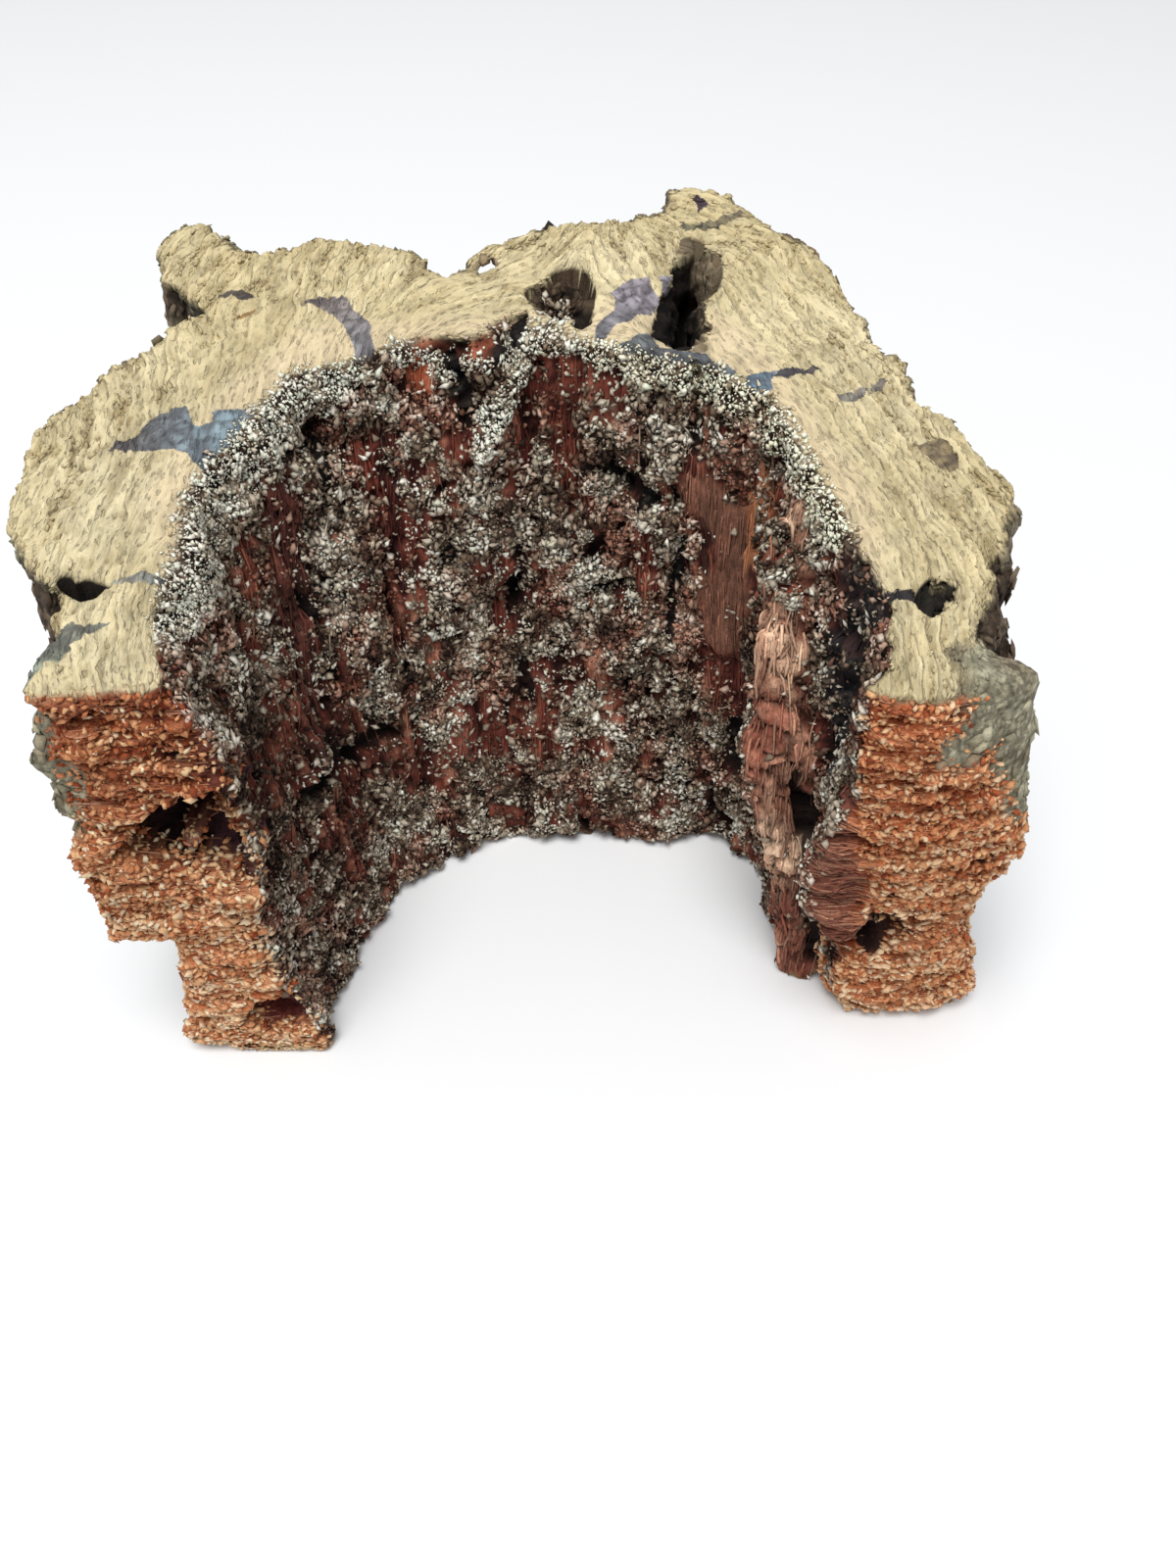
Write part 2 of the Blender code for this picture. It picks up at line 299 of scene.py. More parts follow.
class Finish:
    # a material, with short ways to add nodes to it
    def __init__(self, name, roughness):
        self.material = bpy.data.materials.new(name)
        self.material.use_nodes = True
        self.tree = self.material.node_tree
        self.shader = self.tree.nodes["Principled BSDF"]
        self.shader.inputs["Roughness"].default_value = roughness
        self.shader.inputs["Specular IOR Level"].default_value = 0.18

    def feed(self, socket, source):
        if isinstance(source, (int, float, tuple)):
            socket.default_value = source
        else:
            self.tree.links.new(source, socket)

    def node(self, kind, inputs=None, **settings):
        made = self.tree.nodes.new("ShaderNode" + kind)
        for name, value in settings.items():
            setattr(made, name, value)
        for name, source in (inputs or {}).items():
            self.feed(made.inputs[name], source)
        return made

    def math(self, operation, *values):
        return self.node("Math", dict(enumerate(values)), operation=operation).outputs[0]

    def times(self, first, second):
        return self.math("MULTIPLY", first, second)

    def attribute(self, name, socket="Fac"):
        return self.node("Attribute", attribute_name=name).outputs[socket]

    def stretched(self, vector, scale):
        return self.node("Mapping", {"Vector": vector, "Scale": scale}).outputs["Vector"]

    def noise(self, vector, scale, detail, rough, warp=0.0):
        inputs = {"Vector": vector, "Scale": scale, "Detail": detail, "Roughness": rough, "Distortion": warp}
        return self.node("TexNoise", inputs).outputs["Fac"]

    def ramped(self, value, low, high, outLow=0.0, outHigh=1.0):
        inputs = {"Value": value, "From Min": low, "From Max": high, "To Min": outLow, "To Max": outHigh}
        return self.node("MapRange", inputs, interpolation_type="SMOOTHSTEP").outputs["Result"]

    def mixed(self, share, first, second):
        # the colour sockets of a mix node are its seventh and eighth inputs
        return self.node("Mix", {0: share, 6: first, 7: second}, data_type="RGBA").outputs[2]

    def scaled(self, vector, factor):
        return self.node("VectorMath", {0: vector, "Scale": factor}, operation="SCALE").outputs[0]

    def join(self, source, name):
        self.tree.links.new(source, self.shader.inputs[name])


# The body: one skin over the whole hide, with the heights of its relief in mm
body = {
    "voxel": 1.63, "regain": 0.35, "outward": 0.9,
    "hollowRibs": 1.5, "hollowLumps": 1.4, "crustStep": 0.9, "crustBeads": 0.85, "woodRibs": 0.8,
    "hollowGaps": 2.6, "openings": 1.1, "stripBreaks": 1.7, "boardRise": 1.0, "lipRise": 1.2, "streakRise": 1.6,
    "barkCracks": 2.2, "barkSmallCracks": 0.8, "barkFace": 0.7, "barkPlates": 1.0, "barkRise": 0.3,
    "endLayers": 1.4, "endBeads": 0.9, "endSeams": 0.6, "crevices": 2.4, "footRag": 2.8,
    "topPlates": 0.6, "topShingles": 0.85, "shingleWidth": 1.9, "topRibs": 0.25, "topPits": 0.55,
    "topWaves": 0.35, "rimNibbles": 1.3, "holeLip": 1.3,
}
# how far below the top plane the sawn top goes, how level it lies, and how deep the torn ends reach
zones = {"topDip": 1.4, "topSlope": 0.62, "footHeight": 1.3, "leftDepth": 7, "rightDepth": 10, "endFrom": 30}
# how near a point lies to be drawn onto a hole's outline, where the next ones go and how low both lie
rimLine = {"catch": 0.3, "nextCatch": 0.9, "next": 0.18, "dip": 0.3, "nextDip": 0.8, "nextFall": 1.1}
# cut through the solid as rings of (x, y, z): the flank before it is skinned and the window after
window = {"around": [(-20.3, 82.2, 105.2), (-17, 81.4, 105.2), (-14.8, 84.6, 105.7), (-15.2, 88.8, 106.4),
                     (-17.8, 87.4, 106.2)],
          "way": (-0.09, 0.978, -0.485), "from": -5, "to": 22}
flank = {"from": [(66, 34.5, 99), (60, 28, 97), (56.5, 23.5, 96), (55, 20, 96), (58.5, 19.3, 96),
                  (55.7, 16, 95), (53.5, 11, 94), (51.8, 8, 94), (50.8, 6.3, 93), (80, 6.3, 93),
                  (80, 37, 99)],
         "to": [(66, 34.5, 94.5), (60, 28, 93.4), (56.5, 23.5, 92.4), (55, 20, 91.6), (58.5, 19.3, 90.5),
                (55.7, 16, 90.6), (53.5, 11, 90.2), (51.8, 8, 90), (50.8, 6.3, 90), (80, 6.3, 60),
                (80, 37, 66)]}
# a rise of the sawn top's rim, as (x, y) corners
plug = [(51.4, 13.6), (52.8, 16.4), (53.4, 19.4), (56, 18.6), (55.6, 14), (53, 9.6), (49.6, 9.2),
        (49.6, 11.4)]
# places pushed outwards: x, y, z, reach and the way
bulges = [(70, 3, 39, 8, (-3.2, 0, 0)), (-74, 0, 77, 11, (-2.6, 0, 0)), (-76, 0, 63, 7, (-2, 0, 0)),
          (-75, 0, 92, 7, (-1.8, 0, 0)), (-79, 12, 86, 10, (-2, 0, 0)), (61, 1, 90, 8, (2.4, 0, 0.2)),
          (63.5, 17.5, 82, 7, (-3.4, 0, 0)), (-74, -6, 37, 7, (0, 0, -1.3)), (64, 0, 80, 9, (1.2, 0, 0)),
          (-78, 48, 98, 9, (-1, 0, 0))]
# grey bark on top of the plate, as (x, y) corners
plateTop = [(48.6, 5.4), (50.2, 6), (53, 7.4), (57, 9), (90, 10), (90, -30), (50.6, -30), (50.8, 0),
            (50.2, 3)]
# the raised strip and its face, and the other places below the top, as paths of (x, y, z, half width)
strip = [(42.5, 12.6, 0, 6.5), (39.8, 15, 16, 7), (36.9, 18, 34, 7.2), (34.5, 21.6, 50, 6.5),
         (33.4, 27.6, 66, 5.6), (33.4, 34.5, 80, 5), (33, 39.5, 89, 3.6)]
stripFace = [(40, 9.5, 0, 4.2), (37, 11, 20, 3.8), (34, 14, 36, 3.6), (31.5, 16.5, 52, 3.6),
             (29.5, 21, 64, 3.8), (29.5, 29, 76, 3.6)]
board = [(19, 58, 82, 5), (24, 54, 76, 7.5), (27, 50, 70, 7.5), (25, 51.5, 60, 6), (26, 50.5, 52, 4)]
lip = [(20, 59, 91, 2.2), (26, 56, 92, 2.6), (30, 51, 93, 2.2)]
laminate = [(37, 4, 67, 5), (39, 3.5, 56, 6), (41.5, 3, 42, 6.5), (43.5, 3, 30, 6), (43, 4, 20, 4.5),
            (42.5, 4, 10, 3)]
inky = [(43, 15, 93, 4.2), (41, 21.5, 90, 7), (40.5, 19, 78, 6), (41, 17.5, 68, 5), (40, 14, 58, 3)]
shadePath = [(-54, 10, 60, 16), (-54, 26, 40, 18), (-46, 40, 26, 14)]
whiteRib = [(-10, 72, 100, 2.4), (-12.5, 69.5, 96, 2.4), (-15, 66.5, 92.5, 2.6), (-17.5, 65, 88, 2.2),
            (-18.5, 64, 84, 1.4)]
# where pale crust lies thick: the path, where it is full and how strong it is
crests = [
    ([(-58, 14, 92, 8), (-60, 30, 92, 12), (-58, 42, 96, 11), (-50, 54, 98, 7),
      (-40, 62, 100, 6)], 0.6, 1.0),
    ([(28, 57, 99, 6), (34, 47, 98, 8), (38, 36, 94, 7), (40, 28, 92, 4)], 0.5, 1.0),
    ([(-32, 67, 101, 3), (-24, 68, 97, 3), (-8, 71, 101, 4), (4, 68, 101, 6), (16, 64, 100, 7),
      (26, 59, 99, 6)], 0.6, 0.9),
    (whiteRib, 0.4, 1.0),
]
# grooves and recesses below the top, carved and painted near-black as shade
crevices = [
    [(35.5, 17.5, 53, 1.6), (40.5, 12.5, 31, 2.4), (43.2, 9.5, 14, 2.6), (45.5, 6, 0, 2.8)],
    [(-54, 20, 37, 1.4), (-49, 29, 38, 2.2), (-43, 40, 35, 2.4), (-38, 45, 34, 1.8)],
    [(-23, 68, 99, 1.4), (-21, 67, 95, 2.6), (-20.5, 65.5, 91, 3.2), (-21, 65, 88, 1.6)],
    [(1, 62, 82, 1.4), (6, 61, 80, 2.2), (11, 59, 77, 2), (9, 60, 74, 1.4)],
    [(-13, 61, 66, 1.2), (-12, 60, 60, 1.8), (-14, 59, 52, 1.4)],
    [(30, 46, 30, 4), (30.5, 45, 22, 3.6)],
    [(-57, 31, 76, 1.2), (-56.5, 25, 67, 1.8), (-56, 22, 60, 1.2)],
    [(-50, 42, 80, 1), (-48, 44, 66, 1.4), (-47, 45, 56, 1)],
    [(2, 58, 58, 1.6), (7, 57, 61, 1.2)],
    [(17, 57, 70, 1.2), (16, 56, 60, 1.6), (15, 55, 50, 1.2)],
]
# holes of the sawn top, as (x, y) corners, with the painted shade of their walls and depths
holes = [
    {"outline": [(-11, 80), (-8.5, 81.5), (-6.5, 84), (-4.5, 85.5), (-2, 86), (0, 84.5), (1.5, 80),
                 (1, 73.5), (-1, 70), (-2.5, 70.5), (-3.5, 72.5), (-5.5, 73.5), (-8.5, 74), (-10.5, 78)],
     "sink": 5, "depth": 13, "wall": (74, 60, 46), "deepShade": (44, 34, 26)},
    {"outline": [(-3, 76), (0.6, 76), (0.8, 71.5), (-1.5, 69.5), (-3.5, 72)], "sink": 9, "depth": 24,
     "wall": (40, 32, 25), "deepShade": (10, 8, 7)},
    {"outline": [(16, 93.5), (19.5, 93.5), (21, 90), (23, 89.5), (23, 83.5), (22, 80), (19.5, 76.5),
                 (19.5, 64.5), (17.5, 64.5), (14.5, 66), (11, 68.5), (12, 76.5), (14.5, 82), (15, 86.5)],
     "sink": 6, "depth": 22, "wall": (116, 102, 82), "deepShade": (44, 36, 28)},
    {"outline": [(15.4, 89), (16.6, 92), (17.2, 82), (17.8, 74), (17.4, 65), (14.5, 65), (10, 68.5),
                 (11.5, 76.5), (14, 82)], "sink": 12, "depth": 24, "wall": (30, 23, 19), "deepShade": (9, 7, 6)},
    {"outline": [(-10, 75.5), (-9.6, 72.5), (-11.5, 68), (-13.5, 64), (-15.5, 65), (-15.5, 68), (-13, 71),
                 (-11.8, 74)], "sink": 9, "depth": 14, "wall": (30, 25, 23), "deepShade": (12, 10, 9)},
    {"outline": [(-75.5, 18.5), (-74, 19.8), (-72.5, 18), (-71, 18.8), (-69.5, 18), (-66, 16.8),
                 (-68, 16.3), (-69, 14.8), (-71, 14.2), (-75, 16.5)], "sink": 8, "depth": 16,
     "wall": (36, 30, 25), "deepShade": (12, 10, 9)},
    {"outline": [(45.5, 15), (47, 17.5), (48.5, 19), (51, 18), (52.8, 18.8), (52, 16.5), (50.5, 14),
                 (49, 12.2), (47.5, 11.3), (46, 13)], "sink": 6, "depth": 22, "wall": (50, 46, 40),
     "deepShade": (12, 10, 9)},
]
# openings of the torn ends, as (x, z) corners; their tones are painted shade, "left" for the shaded left side
# and "right" for the lighter, lit right side
cavities = [
    {"outline": [(-74.5, 56), (-71, 59.5), (-67, 63), (-62.5, 65.5), (-59.5, 69.5), (-55, 72), (-49.5, 72),
                 (-48, 66), (-48, 50), (-54, 47.5), (-60, 50), (-68, 53)],
     "shelf": [(-59, 60.5), (-51, 61.5), (-48, 60.5), (-48, 57), (-55.5, 55.5), (-58, 57)], "sink": 8,
     "face": -2, "left": (30, 13, 11), "right": (104, 66, 72)},
    {"outline": [(-63.5, 9.5), (-61, 14.5), (-57, 17.5), (-52.5, 18.5), (-43, 19), (-43, 9), (-49.5, 7.5),
                 (-54.5, 5.5), (-59.5, 6.5)], "sink": 5, "face": -6, "left": (104, 48, 42),
     "right": (50, 44, 48)},
    {"outline": [(47, 35.5), (48, 36.5), (51, 36), (53, 35), (56, 34), (54.5, 32), (52, 31), (49.5, 31.5),
                 (47.5, 33.5)], "sink": 4.5, "face": 1.2, "left": (24, 13, 12), "right": (60, 30, 26)},
    {"outline": [(40.5, 27), (44.5, 26), (47, 28), (49.5, 30.5), (52.5, 30.5), (57, 27.5), (53, 24),
                 (51, 19.5), (48, 21), (44.5, 22)], "sink": 6, "face": 1, "left": (18, 13, 12),
     "right": (66, 40, 34)},
    {"outline": [(59.5, 49.5), (62.5, 51), (65.5, 50), (64, 48), (61, 48.5)], "sink": 2.5, "face": 0.6,
     "left": (84, 44, 34), "right": (70, 38, 30)},
    {"outline": [(48, 42), (50, 43.5), (52.5, 43), (51.5, 40), (50, 39)], "sink": 2.5, "face": 1,
     "left": (60, 28, 24), "right": (80, 40, 30)},
    {"outline": [(-64, 45.2), (-61.5, 46.6), (-59, 46.2), (-54, 45.4), (-56, 44.4), (-60, 44.3), (-63, 44)],
     "sink": 2.5, "face": -3.4, "left": (60, 26, 22), "right": (50, 30, 34)},
    {"outline": [(-61, 78.8), (-58, 79), (-57, 77), (-59.5, 76)], "sink": 2, "face": -2,
     "left": (60, 26, 20), "right": (70, 34, 26)},
]
# bark that shows beside the torn ends, as (x, z) corners
plateEdge = [(46.5, 95), (50.5, 90), (50.5, 85.5), (48, 81.5), (49, 77.5), (52.5, 74.5), (55, 77),
             (57.5, 76), (58.5, 70.5), (62, 66), (63.5, 59), (67, 55.5), (69.5, 51.5), (90, 48), (90, 110),
             (46, 110)]
leftBits = [
    [(-90, 90), (-76, 88.5), (-73, 87), (-72.5, 83), (-74.5, 79.5), (-73, 76), (-71.5, 72), (-73.5, 68),
     (-75.5, 63), (-78, 58.5), (-90, 58)],
    [(-90, 50), (-80.5, 50), (-79.6, 44), (-81, 38.5), (-90, 37)],
]
# bare red wood and other patches below the top, as paths of (x, y, z, half width)
bareWood = [
    {"path": [(-12, 68, 92, 2.2), (-11, 67.5, 88, 3), (-12.5, 66, 82, 2.6), (-14, 64, 78, 1.6)],
     "tone": (78, 32, 24)},
    {"path": [(-7, 69, 97, 3), (0, 67.5, 98, 3), (4, 66, 96, 2.2)], "tone": (92, 40, 30)},
    {"path": [(-4, 66, 89, 3.2), (-3, 64, 79, 2.8)], "tone": (98, 46, 34)},
    {"path": [(-38, 60, 86, 4), (-34, 58, 75, 3.4), (-32, 57, 68, 2.4)], "tone": (96, 42, 32)},
    {"path": [(-50, 48, 86, 4.6), (-50, 43, 72, 5), (-50, 38, 58, 4.2), (-51, 33, 46, 3.4)],
     "tone": (104, 62, 54)},
    {"path": [(-15, 60, 62, 2.8), (-15.5, 57, 50, 3)], "tone": (96, 44, 32)},
    {"path": [(27, 50, 48, 5.5), (28.5, 49, 40, 5), (30, 47, 33, 3.4)], "tone": (80, 34, 28)},
    {"path": [(-26, 69, 102, 2.4), (-22, 68.5, 102, 3), (-17, 68, 101.5, 2.4)], "tone": (142, 78, 54)},
    {"path": [(-29, 68, 97.5, 3), (-27, 67.5, 95, 2.2)], "tone": (160, 84, 54)},
    {"path": [(-20, 51, 24, 4.6), (-27, 48, 26, 4.2), (-34, 44, 22, 3.6)], "tone": (92, 42, 34)},
    {"path": [(10, 58, 68, 3), (12, 57, 60, 2.6)], "tone": (90, 40, 30)},
    {"path": [(-48, 32, 28, 4.2), (-50, 26, 16, 4.2), (-51, 20, 6, 3.4)], "tone": (92, 48, 40)},
    {"path": [(-8, 53, 34, 2.4), (-9, 51, 22, 2.6)], "tone": (110, 58, 44)},
]
patches = [
    {"path": [(19, 58, 80, 5), (25, 52, 76, 8), (26, 51, 64, 7), (25, 51, 54, 5)], "tone": (128, 88, 70)},
    {"path": [(29, 50, 84, 5), (29.5, 48, 74, 5)], "tone": (184, 120, 82)},
    {"path": laminate, "tone": (136, 82, 68)},
    {"path": [(-54.5, -2, 89, 3.4), (-53.5, -2, 82, 3.4), (-53.5, -1.5, 75, 3)], "tone": (98, 50, 42)},
]
creamPatch = {"path": [(-60, -8, 0.5, 6), (-52, -8, 0.5, 6)], "tone": (190, 172, 122)}
# which way the torn ridges of the sawn top run, as (x, y, degrees)
topWays = [(-69, 89, 55), (-62, 84, 70), (-56, 83, 95), (-44, 80, 92), (-38, 83, 90), (-30, 79, 60),
           (-28, 77, 42), (-23, 76, 28), (-19, 71, 5), (-10, 66, 5), (-12, 76, 20), (-13, 90, 35),
           (-2, 90, 80), (5, 87, 100), (20, 99, 160), (30, 77, 112), (28, 65, 125), (42, 65, 118),
           (34, 43, 115), (44, 36, 110), (55, 38, 118), (43, 5, 88), (-67, 64, 115), (-71, 59, 108),
           (-76, 51, 100), (-61, 65, 122), (-78, 38, 78), (-70, 26, 78), (-62, 34, 84), (-53, 62, 60),
           (-65, 6, 100)]
# stains of the sawn top, as closed outlines with a tone at each end; "way" runs from the one to the other
stains = [
    {"outline": [(-73, 42), (-72.5, 44.5), (-70, 44.5), (-68.5, 48), (-66.5, 50), (-64.5, 51), (-62.5, 52),
                 (-61.5, 50), (-60.5, 47.5), (-59.5, 47.5), (-58, 48.5), (-58.5, 50.5), (-56.5, 51.5),
                 (-53, 51.5), (-52, 49), (-52.5, 45), (-55, 42), (-57.5, 39.5), (-59.5, 40.5), (-61, 42),
                 (-66, 42.5)], "from": (98, 92, 90), "to": (136, 154, 162)},
    {"outline": [(-48, 75.5), (-45.5, 76.8), (-40.5, 76.8), (-38.5, 73.5), (-36, 71), (-35, 67.5),
                 (-33.6, 62.5), (-36.5, 61.5), (-38.5, 67.5), (-40, 70.5), (-43, 73), (-45, 74.5)],
     "from": (136, 126, 120), "to": (150, 148, 150), "way": (0.6, -0.8)},
    {"outline": [(-67, 17.8), (-63.5, 18.8), (-59, 19.6), (-58.6, 18.2), (-63.5, 17.2), (-66.8, 16.9)],
     "from": (150, 146, 130), "to": (120, 122, 122)},
    {"outline": [(-78, 0), (-76, 3), (-74.5, 6.5), (-73.5, 8.5), (-71, 10.3), (-69, 9.8), (-65.5, 9.8),
                 (-68.5, 8), (-70, 6), (-72, 4), (-74.5, 1.2), (-77, -1)], "from": (148, 154, 136),
     "to": (120, 120, 108), "way": (0.7, 0.7)},
    {"outline": [(39.5, 17), (43, 15.8), (46, 15.8), (46, 13.6), (43, 14), (39.5, 15.5)],
     "from": (52, 50, 52), "to": (34, 30, 28)},
    {"outline": [(4, 78.5), (7, 81.5), (10, 82), (11, 78.5), (12, 78), (11.5, 74), (8.5, 73), (7, 71.5),
                 (4.5, 71), (3, 67.5), (0.5, 64.5), (1.5, 71), (4.5, 74.5)], "from": (150, 142, 148),
     "to": (124, 124, 128), "way": (0, -1)},
    {"outline": [(12, 82.5), (13.5, 83.5), (14, 80.5), (12.5, 78.5)], "from": (148, 142, 150),
     "to": (120, 116, 124), "way": (0, -1)},
    {"outline": [(8, 68.5), (10.5, 68.5), (12, 66), (16, 64.5), (19, 64), (20, 63), (23.5, 60), (22.5, 55),
                 (18, 58), (14, 60), (9.5, 61), (4, 61), (2, 64), (5, 67)], "from": (112, 116, 116),
     "to": (106, 112, 116)},
    {"outline": [(25, 58.8), (28, 60), (29.8, 59.8), (29.2, 56.5), (26.5, 55), (25, 56)],
     "from": (122, 142, 158), "to": (128, 150, 164)},
    {"outline": [(29, 58.8), (31, 60), (33.5, 60.7), (34.5, 60), (37.5, 60.3), (36.5, 58.8), (33.5, 59),
                 (31, 58)], "from": (76, 74, 78), "to": (96, 88, 86)},
    {"outline": [(38.5, 53.5), (41, 52.5), (43, 54), (44, 55.8), (42.5, 56), (41.5, 54.5), (39.5, 54.3)],
     "from": (140, 134, 122), "to": (128, 122, 114)},
    {"outline": [(44.3, 55), (46.5, 56), (47.8, 57.5), (46.5, 58), (44.5, 56.5)], "from": (130, 122, 112),
     "to": (110, 104, 98)},
    {"outline": [(50, 43.8), (53, 45), (55, 44), (56, 40.5), (54.8, 37.6), (53, 38.6), (51.8, 40.5)],
     "from": (152, 136, 104), "to": (128, 112, 86), "way": (1, -0.5)},
    {"outline": [(18, 103.5), (19.5, 104), (21, 102.5), (21.2, 99.8), (19.5, 99.5), (19, 101.5)],
     "from": (84, 68, 74), "to": (64, 50, 58)},
    {"outline": [(15, 97.8), (17, 96.4), (19.5, 96.2), (21.5, 97.2), (25, 98.8), (27.8, 101), (27.5, 98.5),
                 (24, 96), (21, 94.6), (17, 94.6)], "from": (112, 108, 88), "to": (146, 134, 106)},
    {"outline": [(-63, 77.2), (-61, 78.4), (-57, 78.6), (-55, 77.4), (-57, 76.4), (-61, 77.2)],
     "from": (120, 112, 96), "to": (84, 76, 70)},
    {"outline": [(-58.4, 70.8), (-57, 73), (-55, 74.4), (-54.8, 73.6), (-56.4, 71.6)],
     "from": (152, 116, 70), "to": (160, 126, 80)},
]

# patterns of the body: size in mm, as one number or one along each axis, and seed
patterns = {
    "zoneEdge": (3, 12), "stripEdge": (4, 5), "boardEdge": (4, 6), "streaks": ((1.6, 5, 9), 10),
    "creviceEdge": (2.6, 14), "inkEdge": (3, 76), "bareEdge": (2.4, 71), "bareStreaks": ((1.5, 5, 8), 72),
    "warpX": (16, 7), "warpY": (16, 8), "warpZ": (12, 9),
    "crustPatches": ((5, 5, 4), 82), "crustStreaks": ((2.6, 9, 11), 84), "crustSpots": (1.9, 83),
    "openings": ((2.6, 2.6, 2.2), 89), "ribs": ((5.5, 9, 46), 21), "lumps": ((9, 9, 7), 22),
    "beads": (1.5, 23), "gaps": ((4.5, 9, 13), 24), "woodRibs": ((2.3, 9, 18), 25),
    "woodFibres": ((1, 9, 9), 26), "breaks": ((4, 9, 4.6), 27),
    "barkPlates": ((10, 14, 24), 31), "barkChunks": ((4.2, 9, 6), 35), "barkFace": ((4.5, 4.5, 3.6), 39),
    "levelSway": ((9, 9, 30), 43), "levelShake": ((3, 9, 9), 44), "layers": ((9, 12, 2.1), 45),
    "thinLayers": ((5, 9, 1.3), 46), "rows": ((1.9, 1.9, 1.25), 41), "laminateEdge": (2.4, 47),
    "seams": ((5, 9, 0.8), 48),
    "ringShakeX": (3.2, 57), "ringShakeY": (3, 58), "ringBend": (9, 58), "ringBendFine": (3, 59),
    "topPlates": ((1.5, 12, 12), 51), "thinPlates": ((0.9, 6, 6), 50), "torn": ((2.6, 7, 7), 60),
    "fineRibs": ((0.8, 7, 7), 52), "topPits": ((0.75, 1.5, 1.5), 53), "crumbleEdge": (7, 54),
    "topWaves": (13, 55), "nibbles": (2.4, 57), "bites": (5.5, 58),
    "footRag": (3.5, 65), "footRagWide": (9, 66), "holeEdge": (1.8, 59), "cavityEdge": (1.8, 60),
    "fleck": (2.2, 61), "grit": (0.9, 62), "broad": (14, 62), "mood": ((4.5, 4.5, 3.6), 87),
    "redness": (6, 88), "stripTones": ((7, 7, 9), 67), "moss": (12, 64), "greyPatches": (6, 68),
    "rimShade": (6, 77), "patchEdge": (4.5, 71), "stainEdgeX": (1.7, 73), "stainEdgeY": (1.7, 74),
    "stainCells": ((2.6, 2.6, 9), 75),
    "clumps": ((2.4, 2.4, 2), 85), "wideClumps": (7, 86), "crumbRows": ((6, 6, 2.4), 96),
}

# tones of the body; a list runs from dark to light
bodyTones = {
    "bareWood": (92, 44, 34), "hollowGapShade": (12, 9, 8), "ink": (40, 38, 40), "shadedCrevice": (14, 11, 10),
    "wood": [(18, 8, 7), (78, 34, 27), (128, 68, 52), (176, 122, 98)],
    "crust": [(18, 12, 9), (66, 48, 38), (140, 121, 99), (222, 213, 192)],
    "stripPale": [(112, 72, 56), (176, 134, 110), (220, 192, 164)],
    "stripRed": [(84, 42, 34), (136, 82, 66), (176, 124, 102)], "stripBreak": (36, 20, 16),
    "barkBrown": [(64, 50, 40), (104, 88, 72), (142, 128, 106)],
    "barkMoss": [(74, 74, 60), (124, 122, 102), (164, 162, 138)],
    "barkRed": (112, 74, 56), "barkCrack": (40, 30, 24),
    "barkGrey": [(112, 104, 84), (152, 146, 122), (182, 176, 152)], "greyPatch": (104, 84, 66),
    "endLow": [(140, 68, 38), (192, 116, 72), (224, 168, 122)],
    "endHighRight": [(144, 68, 40), (188, 108, 68), (220, 156, 112)],
    "endHighLeft": [(104, 42, 24), (150, 78, 46), (190, 120, 80)],
    "endUnderTop": (118, 50, 32), "endPitShade": (70, 28, 18), "seam": (58, 32, 26),
    "top": [(184, 168, 128), (198, 183, 144), (209, 196, 160)], "topPitShade": (140, 121, 84),
    "topOuter": (186, 168, 124), "topInner": (210, 190, 156), "topRim": (96, 88, 74),
    "foot": [(120, 92, 64), (168, 140, 102)], "stainCrack": (66, 60, 62),
}


def soft(name, places):
    return softNoise(places, *patterns[name])


def rough(name, places, layers=3):
    return roughNoise(places, *patterns[name], layers)


def cells(name, places):
    return cellNoise(places, *patterns[name])


def shade(name):
    return tone(*bodyTones[name])


def shades(name, values, low, high):
    return ramp(ease(values, low, high), bodyTones[name])


def covered(base, *layers):
    # body tones laid over a base one after the other, each by its share
    for name, share in layers:
        base = mix(base, shade(name), share)
    return base


# the painted shade of a hole or opening, mottled with flecks and grit
def roughened(recessShadeTone, flecks, grits):
    return recessShadeTone * (1 + flecks * fleck[:, None] + grits * grit[:, None])


def columns(*values):
    return np.stack(values, axis=1)


def applied(piece):
    graph = bpy.context.evaluated_depsgraph_get()
    mesh = bpy.data.meshes.new_from_object(piece.evaluated_get(graph))
    piece.modifiers.clear()
    piece.data = mesh
    return mesh


def cutWith(piece, name, operation, first, second):
    # a solid between two rings, taken out of the piece or added to it
    sheet = bmesh.new()
    rings = [[sheet.verts.new((np.array(spot, dtype=float) + mouth) * mm) for spot in ring]
             for ring in (first, second)]
    caps = [sheet.faces.new(rings[0]), sheet.faces.new(rings[1][::-1])]
    for k in range(len(first)):
        sheet.faces.new((rings[0][k - 1], rings[1][k - 1], rings[1][k], rings[0][k]))
    bmesh.ops.triangulate(sheet, faces=caps)
    bmesh.ops.recalc_face_normals(sheet, faces=sheet.faces)
    cutMesh = bpy.data.meshes.new(name)
    sheet.to_mesh(cutMesh)
    sheet.free()
    cutter = bpy.data.objects.new(name, cutMesh)
    scene.collection.objects.link(cutter)
    cut = piece.modifiers.new(name, "BOOLEAN")
    cut.object, cut.operation, cut.solver = cutter, operation, "EXACT"
    return cutter


started = cadBark.data.copy()
corkBody = bpy.data.objects.new("corkBody", started)
scene.collection.objects.link(corkBody)
sheet = bmesh.new()
sheet.from_mesh(started)
bmesh.ops.remove_doubles(sheet, verts=sheet.verts, dist=1e-6)
sheet.to_mesh(started)
sheet.free()

